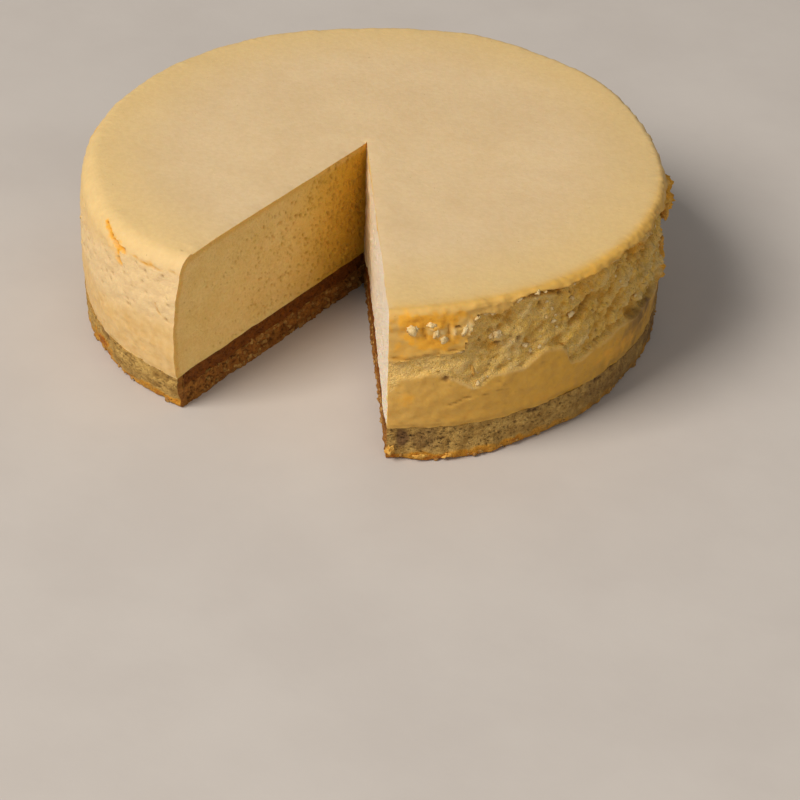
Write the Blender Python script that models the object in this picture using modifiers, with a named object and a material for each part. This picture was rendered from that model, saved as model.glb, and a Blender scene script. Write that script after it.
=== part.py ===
"""A baked cheesecake with one slice taken out, modelled as three closed solids.

The crumb base is a disc with a low outer wall, the dense brown layer lies inside that wall, and the
cheese filling sits on both. One wedge cuts all three, open towards -Y. Units are metres and +Z is up.
The origin is the middle of the underside of the whole cake's bounding box.
"""

import math

import bpy
from mathutils import Vector, noise

# Driving dimensions
CAKE_RADIUS = 0.100  # the tin's inner radius
TOP_HEIGHT = 0.0595  # crumb base, brown layer and filling together
SEAM_HEIGHT = 0.0132  # where filling and base meet on the outside
BROWN_THICKNESS = 0.0052
LAYER_GAP = 0.0003  # clear space between two layers
RIM_WALL = 0.0042  # width of the base's outer wall

# Side profile of the filling, as shares of the radius and of its own height
RIM_ROUND = 0.055  # radius of the rounded top edge, of the cake's radius
BELLY = 1.013  # widest radius of the filling
SEAM_RADIUS = 1.001  # the filling's outer radius at its lower edge
BASE_RADIUS = 1.004  # the base's outer radius at its upper edge
FOOT_RADIUS = 0.978  # the base's radius where it meets the plate
FOOT_ROUND = 0.0016

# The missing slice
APEX = (-0.0052, 0.0086)  # its tip at the top, from the cake's own axis
RIGHT_CUT = math.radians(-69.7)  # heading of the cut at +X, seen from above
LEFT_CUT = math.radians(-110.3)  # heading of the cut at -X
LEFT_UNDERCUT = 0.0020  # how far the cut at -X leans into the cake at the bottom
RIGHT_UNDERCUT = 0.0003
CUTTER_REACH = 0.150
CUTTER_MARGIN = 0.010

# Uneven outline: (degrees round from the slice's middle, outward shift, spread in degrees)
SWELLS = (
    (175.0, 0.0017, 11.0),
    (203.0, -0.0010, 12.0),
    (236.0, 0.0005, 9.0),
    (117.0, -0.0016, 15.0),
    (336.0, -0.0038, 15.0),
)

# The torn band, where the skin came away with the tin: (degrees round, depth, spread in degrees)
TORN_PATCHES = (
    (85.0, 0.0020, 42.0),
    (170.0, 0.0011, 35.0),
    (250.0, 0.0013, 30.0),
    (322.0, 0.0009, 18.0),
)
# Where the top sinks towards its edge: (degrees round, depth, spread in degrees)
RIM_DIPS = (
    (322.0, 0.0016, 26.0),
    (112.0, 0.0014, 13.0),
    (68.0, 0.0006, 20.0),
    (262.0, 0.0006, 24.0),
)
DIP_FROM = 0.74  # of the cake's radius

TORN_BOTTOM = 0.31  # of the cake's radius
TORN_TOP = 0.555
TORN_EDGE = 0.030

LUMP_HEIGHT = 0.0005
LUMP_SIZE = 0.016

TURN_STEPS = 112
SIDE_ROWS = 15
ROUND_ROWS = 4


def smooth_step(low, high, value):
    """0 below low, 1 above high and an even ease between them."""
    share = min(1.0, max(0.0, (value - low) / (high - low)))
    return share * share * (3.0 - 2.0 * share)


def bump(angle, centre, spread):
    """A bell of height 1 at centre, in degrees round the cake."""
    away = (angle - centre + 180.0) % 360.0 - 180.0
    return math.exp(-((away / spread) ** 2))


def angle_round(point):
    """Degrees round the cake's axis, counted from the middle of the missing slice at -Y."""
    return (math.degrees(math.atan2(point.y, point.x)) + 90.0) % 360.0


def outline_shift(angle):
    """How far the outline stands out of a true circle at this angle."""
    return sum(shift * bump(angle, centre, spread) for centre, shift, spread in SWELLS)


def torn_depth(angle, height):
    """How far the torn band is set back at this angle and height."""
    share = height / CAKE_RADIUS
    band = smooth_step(TORN_BOTTOM - TORN_EDGE, TORN_BOTTOM + TORN_EDGE, share)
    band *= 1.0 - smooth_step(TORN_TOP - TORN_EDGE, TORN_TOP + TORN_EDGE, share)
    return band * max(depth * bump(angle, centre, spread) for centre, depth, spread in TORN_PATCHES)


def seam_rise(angle):
    """How far the seam between base and filling wanders up and down along the outside."""
    turn = math.radians(angle)
    return 0.0005 * math.sin(3.0 * turn + 0.6) + 0.0004 * math.sin(7.0 * turn)


def rim_dip(angle, radius, height):
    """How far the top sinks here."""
    depth = sum(depth * bump(angle, centre, spread) for centre, depth, spread in RIM_DIPS)
    edge = smooth_step(DIP_FROM, 1.02, radius / CAKE_RADIUS)
    return depth * edge * smooth_step(0.60, 1.0, height / TOP_HEIGHT)


def shaped(point):
    """Moves a point of a turned body to its place on the uneven cake."""
    radius = math.hypot(point.x, point.y)
    if radius < 1e-6:
        return point.copy()
    angle = angle_round(point)
    outer = smooth_step(0.70, 0.97, radius / CAKE_RADIUS)
    lump = noise.noise(point / LUMP_SIZE) * LUMP_HEIGHT
    out = outer * (outline_shift(angle) + lump - torn_depth(angle, point.z))
    near_seam = smooth_step(0.95 * CAKE_RADIUS, 0.97 * CAKE_RADIUS, radius)
    near_seam *= bump(point.z / SEAM_HEIGHT, 1.0, 0.30)
    rise = near_seam * seam_rise(angle) - rim_dip(angle, radius, point.z)
    scale = (radius + out) / radius
    return Vector((point.x * scale, point.y * scale, point.z + rise))


def arc(centre_r, centre_z, radius, start, end, rows):
    """Points of an arc in the profile's plane, with angles in degrees from +X towards +Z."""
    turns = [math.radians(start + (end - start) * row / rows) for row in range(rows + 1)]
    return [(centre_r + radius * math.cos(t), centre_z + radius * math.sin(t)) for t in turns]


def filling_profile():
    """The filling's half section, from the middle of the top down the outside to the axis."""
    rounding = RIM_ROUND * CAKE_RADIUS
    belly = BELLY * CAKE_RADIUS
    seam = SEAM_RADIUS * CAKE_RADIUS
    low = SEAM_HEIGHT + LAYER_GAP
    high = TOP_HEIGHT - rounding
    profile = [(share * belly, TOP_HEIGHT) for share in (0.0, 0.5, 0.75, 0.85)]
    profile += arc(belly - rounding, high, rounding, 90.0, 0.0, ROUND_ROWS)
    for row in range(1, SIDE_ROWS):
        share = row / SIDE_ROWS
        tuck = smooth_step(0.75, 1.0, share)
        profile.append((belly + (seam - belly) * tuck, high + (low - high) * share))
    profile += [(seam, low), (seam - RIM_WALL, low), (0.5 * seam, low), (0.0, low)]
    return profile


def base_profile():
    """The crumb base's half section, a disc with a low wall round its edge."""
    top = BASE_RADIUS * CAKE_RADIUS
    foot = FOOT_RADIUS * CAKE_RADIUS
    floor = SEAM_HEIGHT - BROWN_THICKNESS - LAYER_GAP
    inner = top - RIM_WALL
    profile = [(0.0, floor), (0.6 * inner, floor), (inner, floor), (inner, SEAM_HEIGHT)]
    profile += [(top - FOOT_ROUND, SEAM_HEIGHT), (top, SEAM_HEIGHT - FOOT_ROUND)]
    for share in (0.3, 0.6):
        profile.append((top + (foot - top) * share**2, SEAM_HEIGHT * (1.0 - share)))
    profile += [(foot, FOOT_ROUND), (foot - FOOT_ROUND, 0.0), (0.6 * foot, 0.0), (0.0, 0.0)]
    return profile


def brown_profile():
    """The brown layer's half section, a plain disc inside the base's wall."""
    outer = BASE_RADIUS * CAKE_RADIUS - RIM_WALL - LAYER_GAP
    low = SEAM_HEIGHT - BROWN_THICKNESS
    return [
        (0.0, SEAM_HEIGHT),
        (0.6 * outer, SEAM_HEIGHT),
        (outer, SEAM_HEIGHT),
        (outer, low),
        (0.6 * outer, low),
        (0.0, low),
    ]


def principled(name, colour, roughness):
    """A plain Principled material."""
    material = bpy.data.materials.new(name)
    material.use_nodes = True
    shader = material.node_tree.nodes["Principled BSDF"]
    shader.inputs["Base Color"].default_value = (*colour, 1.0)
    shader.inputs["Roughness"].default_value = roughness
    shader.inputs["Metallic"].default_value = 0.0
    material.diffuse_color = (*colour, 1.0)
    return material


def turned(name, profile, material, collection, parent):
    """Turns a profile into a solid, shapes it, and links it as an object."""
    mesh = bpy.data.meshes.new(name)
    points = [(radius, 0.0, height) for radius, height in profile]
    mesh.from_pydata(points, [(i, i + 1) for i in range(len(points) - 1)], [])
    obj = bpy.data.objects.new(name, mesh)
    collection.objects.link(obj)
    turn = obj.modifiers.new("Turn", "SCREW")
    turn.axis = "Z"
    turn.angle = 2.0 * math.pi
    turn.steps = turn.render_steps = TURN_STEPS
    turn.use_merge_vertices = True
    turn.merge_threshold = 0.00005
    solid = bpy.data.meshes.new_from_object(obj.evaluated_get(bpy.context.evaluated_depsgraph_get()))
    obj.modifiers.clear()
    obj.data = solid
    bpy.data.meshes.remove(mesh)
    solid.name = name
    for vertex in solid.vertices:
        vertex.co = shaped(vertex.co)
    solid.materials.append(material)
    solid.shade_smooth()
    solid.set_sharp_from_angle(angle=math.radians(40.0))
    obj.parent = parent
    return obj


def cut_tip(height):
    """Where the two cutting planes meet at this height."""
    share = 1.0 - height / TOP_HEIGHT
    right = Vector((math.cos(RIGHT_CUT), math.sin(RIGHT_CUT)))
    left = Vector((math.cos(LEFT_CUT), math.sin(LEFT_CUT)))
    opening = math.sin(RIGHT_CUT - LEFT_CUT)
    # A plane moved sideways by some distance slides the tip along the other plane's heading.
    back = right * (LEFT_UNDERCUT * share / opening) + left * (RIGHT_UNDERCUT * share / opening)
    return Vector(APEX) - back


def wedge_cutter(collection, parent):
    """The removed slice, as a three-sided prism whose sides lean with the cuts."""
    low, high = -CUTTER_MARGIN, TOP_HEIGHT + CUTTER_MARGIN
    bpy.ops.mesh.primitive_cone_add(vertices=3, radius1=1.0, radius2=1.0, depth=2.0)
    cutter = bpy.context.object
    cutter.name = "slice_cutter"
    bpy.context.collection.objects.unlink(cutter)
    collection.objects.link(cutter)
    corners = sorted(cutter.data.vertices, key=lambda v: (v.co.z, math.atan2(v.co.y, v.co.x)))
    for height, ring in ((low, corners[:3]), (high, corners[3:])):
        tip = cut_tip(height)
        for vertex, heading in zip(ring, (LEFT_CUT, RIGHT_CUT, None)):
            flat = tip if heading is None else tip + cut_reach(heading)
            vertex.co = (flat.x, flat.y, height)
    cutter.parent = parent
    cutter.hide_render = True
    cutter.display_type = "WIRE"
    return cutter


def cut_reach(heading):
    """The run of one cut, well past the cake's edge."""
    return Vector((math.cos(heading), math.sin(heading))) * CUTTER_REACH


def cut_slice(obj, cutter):
    """Takes the slice out of one layer."""
    cut = obj.modifiers.new("Slice", "BOOLEAN")
    cut.operation = "DIFFERENCE"
    cut.solver = "EXACT"
    cut.object = cutter


def centre_on_box(frame, layers):
    """Moves the whole cake so that the middle of its box's underside is the origin."""
    graph = bpy.context.evaluated_depsgraph_get()
    points = []
    for layer in layers:
        solid = layer.evaluated_get(graph)
        points += [solid.matrix_world @ vertex.co for vertex in solid.data.vertices]
    for axis in (0, 1):
        values = [point[axis] for point in points]
        frame.location[axis] -= (min(values) + max(values)) / 2.0


def main():
    """Builds the three layers and cuts the slice out of them."""
    for obj in list(bpy.data.objects):
        bpy.data.objects.remove(obj, do_unlink=True)
    scene = bpy.context.scene
    cake = bpy.data.collections.new("cheesecake")
    cutters = bpy.data.collections.new("cutters")
    scene.collection.children.link(cake)
    scene.collection.children.link(cutters)
    frame = bpy.data.objects.new("cake_axis", None)
    cake.objects.link(frame)
    cutter = wedge_cutter(cutters, frame)
    layers = [
        turned("crumb_base", base_profile(), principled("crumb", (0.42, 0.29, 0.14), 0.85), cake, frame),
        turned("brown_layer", brown_profile(), principled("brown", (0.13, 0.05, 0.02), 0.6), cake, frame),
        turned("cheese_filling", filling_profile(), principled("cheese", (0.66, 0.47, 0.24), 0.5), cake, frame),
    ]
    for layer in layers:
        cut_slice(layer, cutter)
    bpy.context.view_layer.update()
    centre_on_box(frame, layers)


main()
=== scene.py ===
"""Looks of a baked cheesecake with one slice taken out.

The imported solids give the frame: where every layer lies and how large it is. Each layer is rebuilt
here as one closed mesh that follows the same outline, with the torn skin, pores, crumbs and cracks of
the real cake as geometry, and is finished with materials that read masks stored on the mesh.
Lengths are metres unless a name ends in _mm; angles are degrees round the cake, counted from the
middle of the missing slice and growing towards the cut at +X.
"""

import logging
import math
from collections.abc import Callable
from dataclasses import dataclass, field
from enum import Enum

import bmesh
import bpy
import numpy as np
from mathutils import Matrix, Vector
from mathutils.geometry import delaunay_2d_cdt


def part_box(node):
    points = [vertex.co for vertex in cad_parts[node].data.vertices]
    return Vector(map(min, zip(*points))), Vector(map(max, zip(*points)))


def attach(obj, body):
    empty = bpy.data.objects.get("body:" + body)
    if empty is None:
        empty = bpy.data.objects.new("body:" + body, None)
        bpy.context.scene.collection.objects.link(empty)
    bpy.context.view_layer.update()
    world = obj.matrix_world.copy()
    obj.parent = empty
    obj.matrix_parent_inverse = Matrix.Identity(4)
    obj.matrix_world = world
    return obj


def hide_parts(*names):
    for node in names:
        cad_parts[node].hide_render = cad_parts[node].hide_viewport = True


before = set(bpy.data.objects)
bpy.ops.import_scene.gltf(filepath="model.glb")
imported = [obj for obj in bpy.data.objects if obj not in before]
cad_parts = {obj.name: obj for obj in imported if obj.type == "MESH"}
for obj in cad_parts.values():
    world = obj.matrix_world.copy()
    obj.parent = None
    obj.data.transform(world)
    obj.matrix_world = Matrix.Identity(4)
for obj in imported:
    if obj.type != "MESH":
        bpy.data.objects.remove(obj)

LOG = logging.getLogger("cheesecake")
MM = 0.001
FULL_SET_BACK = 0.0018  # depth of the torn band at which its lip, lumps and shadows are at their strongest
SHARP_BEND = math.radians(64.0)
Array = np.ndarray
LEVEL = np.array([1.0, 1.0, 0.0])  # times a point, drops it to the plate


# --------------------------------------------------------------------------- noise and easing


def lattice_values(cells: Array, seed: int) -> Array:
    """Gives every lattice cell a repeatable value.

    Args:
        cells: Whole-numbered cells, shape (..., 3).
        seed: Picks one of many patterns.

    Returns:
        Values from -1 to 1, shape (...).
    """
    mixed = (cells[..., 0] * 73856093) ^ (cells[..., 1] * 19349663) ^ (cells[..., 2] * 83492791)
    mixed = (mixed ^ (seed * 2654435761)) & 0xFFFFFFFF
    for _ in range(2):
        mixed = (((mixed >> 16) ^ mixed) * 0x45D9F3B) & 0xFFFFFFFF
    mixed = (mixed >> 16) ^ mixed
    return mixed / 2147483647.5 - 1.0


def soft_noise(points: Array, size: float, seed: int) -> Array:
    """Smooth noise over space.

    Args:
        points: Places, shape (..., 3).
        size: Distance over which the noise changes.
        seed: Picks one of many patterns.

    Returns:
        Values from about -1 to 1, shape (...).
    """
    scaled = points / size
    cell = np.floor(scaled).astype(np.int64)
    part = scaled - cell
    ease = part**3 * (part * (part * 6.0 - 15.0) + 10.0)
    total = np.zeros(points.shape[:-1])
    for corner in np.ndindex(2, 2, 2):
        weight = np.where(np.array(corner, bool), ease, 1.0 - ease).prod(axis=-1)
        total += weight * lattice_values(cell + np.array(corner), seed)
    return total


def layered_noise(points: Array, size: float, seed: int, layers: int = 4, fade: float = 0.5) -> Array:
    """Noise with finer and fainter layers on top of each other.

    Args:
        points: Places, shape (..., 3).
        size: Distance over which the coarsest layer changes.
        seed: Picks one of many patterns.
        layers: Number of layers, each half the size of the last.
        fade: Strength of each layer as a share of the last.

    Returns:
        Values from about -1 to 1, shape (...).
    """
    total = np.zeros(points.shape[:-1])
    strength, weight = 1.0, 0.0
    for layer in range(layers):
        total += strength * soft_noise(points, size / 2.0**layer, seed + 17 * layer)
        weight += strength
        strength *= fade
    return total / weight * 1.6


def grain_distance(points: Array, size: float, seed: int) -> Array:
    """Distance to the nearest of many scattered grains.

    Args:
        points: Places, shape (..., 3).
        size: Mean distance between the grains.
        seed: Picks one of many patterns.

    Returns:
        Distance as a share of size, about 0 to 1.
    """
    scaled = points / size
    cell = np.floor(scaled).astype(np.int64)
    nearest = np.full(points.shape[:-1], 9.0)
    for step in np.ndindex(3, 3, 3):
        other = cell + (np.array(step) - 1)
        jitter = np.stack([lattice_values(other, seed + axis) for axis in range(3)], axis=-1)
        away = other + 0.5 + 0.5 * jitter - scaled
        nearest = np.minimum(nearest, (away**2).sum(axis=-1))
    return np.sqrt(nearest)


def ease_between(low: float, high: float, value: Array) -> Array:
    """Eases from 0 at low to 1 at high.

    Args:
        low: Value that gives 0.
        high: Value that gives 1.
        value: The values to ease.

    Returns:
        Shares from 0 to 1.
    """
    share = np.clip((value - low) / (high - low), 0.0, 1.0)
    return share * share * (3.0 - 2.0 * share)


def share_of(value: Array, full: float) -> Array:
    """The value as a share of full, kept between 0 and 1."""
    return np.clip(value / full, 0.0, 1.0)


def even_steps(count: int) -> Array:
    """Shares from 0 to 1 in even steps, both ends included."""
    return np.linspace(0.0, 1.0, count + 1)


def turn_between(angle: Array, centre: float) -> Array:
    """The shorter way round from centre to angle, in degrees from -180 to 180."""
    return (angle - centre + 180.0) % 360.0 - 180.0


def bells(stops: tuple[tuple[float, float, float], ...], angle: Array) -> Array:
    """Sum of soft swells round the cake, each with its middle, strength and spread in degrees."""
    return sum(most * np.exp(-((turn_between(angle, mid) / wide) ** 2)) for mid, most, wide in stops)


def linked(name: str, data: bpy.types.ID) -> bpy.types.Object:
    """Makes an object of some data and links it to the scene."""
    obj = bpy.data.objects.new(name, data)
    bpy.context.scene.collection.objects.link(obj)
    return obj


# --------------------------------------------------------------------------- the cake's own form


@dataclass(frozen=True)
class Course:
    """A value that changes round the cake, given at a few angles.

    Attributes:
        stops: Pairs of an angle in degrees and the value there.
    """

    stops: tuple[tuple[float, float], ...]

    def at(self, angle: Array) -> Array:
        """The value at each angle, in a straight line between two stops."""
        angles, values = zip(*self.stops)
        return np.interp(angle, angles, values, period=360.0)


@dataclass(frozen=True)
class CakeForm:
    """Outline, height and missing slice, as the solids have them.

    Attributes:
        height: Top of the cake over what it stands on.
        axis: The cake's axis; it isn't the box's middle, because the slice is missing.
        radius: Inner radius of the tin.
        tip: The missing slice's tip at the top, from the axis.
        right_cut: Heading of the cut at +X, in radians.
        left_cut: Heading of the cut at -X, in radians.
        left_undercut: How far the cut at -X leans into the cake at the bottom.
        right_undercut: The same for the cut at +X.
        swells: Where the outline leaves the circle: degrees round, shift, spread in degrees.
        dips: Where the top sinks towards its edge: degrees round, depth, spread in degrees.
    """

    height: float
    axis: tuple[float, float] = (0.00012, -0.0035)
    radius: float = 0.100
    tip: tuple[float, float] = (-0.0052, 0.0086)
    right_cut: float = math.radians(-69.7)
    left_cut: float = math.radians(249.7)
    left_undercut: float = 0.0020
    right_undercut: float = 0.0003
    swells: tuple[tuple[float, float, float], ...] = (
        (175.0, 0.0017, 11.0), (203.0, -0.0010, 12.0), (236.0, 0.0005, 9.0), (117.0, -0.0016, 15.0),
        (336.0, -0.0038, 15.0),
    )
    dips: tuple[tuple[float, float, float], ...] = (
        (322.0, 0.0016, 26.0), (112.0, 0.0014, 13.0), (68.0, 0.0006, 20.0), (262.0, 0.0006, 24.0),
    )

    def angle_at(self, x: Array, y: Array) -> Array:
        """Degrees round the axis from the slice's middle, for places measured from the axis."""
        return (np.degrees(np.arctan2(y, x)) + 90.0) % 360.0

    def outline_shift(self, angle: Array) -> Array:
        """How far the outline stands out of a true circle at each angle."""
        return bells(self.swells, angle)

    def tip_at(self, height: Array) -> Array:
        """Where the two cuts meet at each height, shape (..., 2), from the axis."""
        share = 1.0 - height / self.height
        opening = math.sin(self.right_cut - self.left_cut)
        right = np.array([math.cos(self.right_cut), math.sin(self.right_cut)])
        left = np.array([math.cos(self.left_cut), math.sin(self.left_cut)])
        back = right * self.left_undercut / opening + left * self.right_undercut / opening
        return np.array(self.tip) - share[..., None] * back

    def reach(self, heading: Array, height: Array, radius: Array) -> Array:
        """Distance from the tip to a circle round the axis, along each heading."""
        tip = self.tip_at(height)
        along = tip[..., 0] * np.cos(heading) + tip[..., 1] * np.sin(heading)
        return -along + np.sqrt(along**2 - (tip**2).sum(axis=-1) + radius**2)

    def from_tip(self, heading: Array, height: Array, distance: Array) -> Array:
        """Points at a distance from the tip along each heading, shape (..., 3), from the axis."""
        tip = self.tip_at(height)
        x = tip[..., 0] + distance * np.cos(heading)
        y = tip[..., 1] + distance * np.sin(heading)
        return np.stack([x, y, height + 0.0 * x], axis=-1)

    def headings(self, columns: int) -> Array:
        """Headings from the cut at +X round to the cut at -X, shape (1, columns + 1)."""
        return self.right_cut + (self.left_cut - self.right_cut) * even_steps(columns)[None, :]

    def on_circle(self, heading: Array, height: float, radius: float) -> Array:
        """Points at one height where each heading meets a circle round the axis."""
        level = np.full(heading.shape, height)
        return self.from_tip(heading, level, self.reach(heading, level, radius))

    def edge_reach(self, edge: Array) -> Array:
        """Distance from the tip to each point of an outer edge, shape (rows, 1)."""
        tip = self.tip_at(edge[:, 2])
        return np.hypot(edge[:, 0] - tip[:, 0], edge[:, 1] - tip[:, 1])[:, None]

    def top_sink(self, points: Array) -> Array:
        """How far the top lies below its flat height at each point."""
        angle = self.angle_at(points[..., 0], points[..., 1])
        share = np.hypot(points[..., 0], points[..., 1]) / self.radius
        depth = bells(self.dips, angle)
        flat = points * LEVEL
        waves = 0.00022 * soft_noise(flat, 0.028, 5) + 0.00010 * soft_noise(flat, 0.009, 6)
        sunk = depth * ease_between(0.74, 1.02, share) - waves
        return sunk * ease_between(0.6, 1.0, points[..., 2] / self.height)

    def seam_rise(self, points: Array) -> Array:
        """How far the seam between filling and base wanders up and down at each point."""
        turn = np.radians(self.angle_at(points[..., 0], points[..., 1]))
        outside = ease_between(0.86, 0.98, np.hypot(points[..., 0], points[..., 1]) / self.radius)
        wave = 0.0005 * np.sin(3.0 * turn + 0.6) + 0.0004 * np.sin(7.0 * turn)
        flat = points * LEVEL
        return wave * outside + 0.00030 * layered_noise(flat, 0.007, 8, 3)

    def floor_rise(self, points: Array) -> Array:
        """The same for the seam between the brown layer and the crumb floor."""
        return 0.00035 * layered_noise(points * LEVEL, 0.005, 9, 3)

    def cut_points(self, heading: float, along: Array, height: Array, depth: Array) -> Array:
        """Points of a cut face, from the axis.

        Args:
            heading: Heading of the cut.
            along: Distance from the tip.
            height: Height over the plate.
            depth: How far each point is set back into the cake.

        Returns:
            The points, with one more axis than along.
        """
        turned = 1.0 if heading < 0.0 else -1.0
        into = np.array([-math.sin(heading), math.cos(heading), 0.0]) * turned
        return self.from_tip(np.full(along.shape, heading), height, along) + into * depth[..., None]

    def placed(self, points: Array) -> Array:
        """Points in the shared frame, from points measured from the cake's axis."""
        return points + np.array([self.axis[0], self.axis[1], 0.0])

    def on_side(self, angle: float, height: float, radius: float) -> tuple[Vector, Vector, Vector]:
        """A spot on the outside and the directions there.

        Args:
            angle: Degrees round the cake.
            height: Height over the plate.
            radius: Radius before the outline's unevenness.

        Returns:
            The spot in the shared frame, the way out of the cake, and the way round it.
        """
        turn = math.radians(angle - 90.0)
        out = Vector((math.cos(turn), math.sin(turn), 0.0))
        far = radius + float(self.outline_shift(np.array(angle)))
        spot = Vector((self.axis[0], self.axis[1], height)) + out * far
        return spot, out, Vector((-out.y, out.x, 0.0))


# --------------------------------------------------------------------------- marks on a surface


@dataclass(frozen=True)
class Patch:
    """A soft-edged oval area of the outside.

    Attributes:
        angle: Degrees round the cake.
        height_mm: Height over the plate.
        half_width_mm: Half its length along the side.
        half_height_mm: Half its height.
        strength: Value in its middle.
    """

    angle: float
    height_mm: float
    half_width_mm: float
    half_height_mm: float
    strength: float = 1.0

    def mask(self, angle: Array, height: Array, radius: float, wobble: Array | float = 0.0) -> Array:
        """Its strength at each place of the side.

        Args:
            angle: Degrees round the cake.
            height: Heights over the plate.
            radius: The cake's radius.
            wobble: Added to the distance from the middle, which makes the edge uneven.

        Returns:
            Values from 0 to strength.
        """
        along = np.radians(turn_between(angle, self.angle)) * radius / (self.half_width_mm * MM)
        up = (height - self.height_mm * MM) / (self.half_height_mm * MM)
        return self.strength * (1.0 - ease_between(0.35, 1.15, np.hypot(along, up) + wobble))


@dataclass(frozen=True)
class Crack:
    """An open split or crease in the outside.

    Attributes:
        path: Its points: degrees round the cake and height in millimetres.
        width_mm: Width at the surface.
        depth_mm: Depth in its middle.
        toast: How orange its inside and edges are.
    """

    path: tuple[tuple[float, float], ...]
    width_mm: float
    depth_mm: float
    toast: float = 0.0

    def distance_mm(self, angle: Array, height: Array, radius: float) -> Array:
        """Distance from each place of the side to the crack's line."""
        here = np.stack([np.radians(angle) * radius, height], axis=-1) / MM
        stops = [(math.radians(turn) * radius / MM, high) for turn, high in self.path]
        nearest = np.full(angle.shape, 1e3)
        for start, end in zip(stops, stops[1:]):
            run = np.array(end) - np.array(start)
            share = np.clip(((here - start) @ run) / (run @ run), 0.0, 1.0)
            away = here - (np.array(start) + share[..., None] * run)
            nearest = np.minimum(nearest, np.hypot(away[..., 0], away[..., 1]))
        return nearest


def dig_pits(
    across: Array, up: Array, centres: Array, radii: Array, depths: Array, squash: float = 1.0
) -> Array:
    """Depth of many round pits in a grid of surface points.

    Args:
        across: First surface coordinate of the grid, shape (rows, columns).
        up: Second surface coordinate, the same shape.
        centres: Pit centres, shape (pits, 2).
        radii: Radius of each pit.
        depths: Depth of each pit.
        squash: Height of a pit as a share of its width.

    Returns:
        The depth at every grid point, and 0 outside all pits.
    """
    dug = np.zeros(across.shape)
    columns = across.mean(axis=0)
    for (x, y), radius, depth in zip(centres, radii, depths):
        first, last = np.searchsorted(columns, [x - 1.5 * radius, x + 1.5 * radius])
        if last <= first:
            continue
        window = slice(max(0, first - 1), last + 1)
        away = np.hypot(across[:, window] - x, (up[:, window] - y) / squash) / radius
        bowl = depth * (1.0 - ease_between(0.25, 1.05, away))
        dug[:, window] = np.maximum(dug[:, window], bowl)
    return dug


def dig_holes(
    across: Array, up: Array, holes: tuple[tuple[float, ...], ...], radius: float, squash: float = 1.0
) -> Array:
    """Depth of single pits, each with its degrees round, height, radius and depth in millimetres."""
    stops = np.array(holes)
    centres = np.column_stack([np.radians(stops[:, 0]) * radius, stops[:, 1] * MM])
    return dig_pits(across, up, centres, stops[:, 2] * MM, stops[:, 3] * MM, squash)


def strongest(
    patches: tuple[Patch, ...], angle: Array, height: Array, radius: float, wobble: Array
) -> Array:
    """The strongest of several patches at each place of the side."""
    strength = np.zeros(angle.shape)
    for patch in patches:
        strength = np.maximum(strength, patch.mask(angle, height, radius, wobble))
    return strength


# --------------------------------------------------------------------------- closed layer meshes


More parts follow.
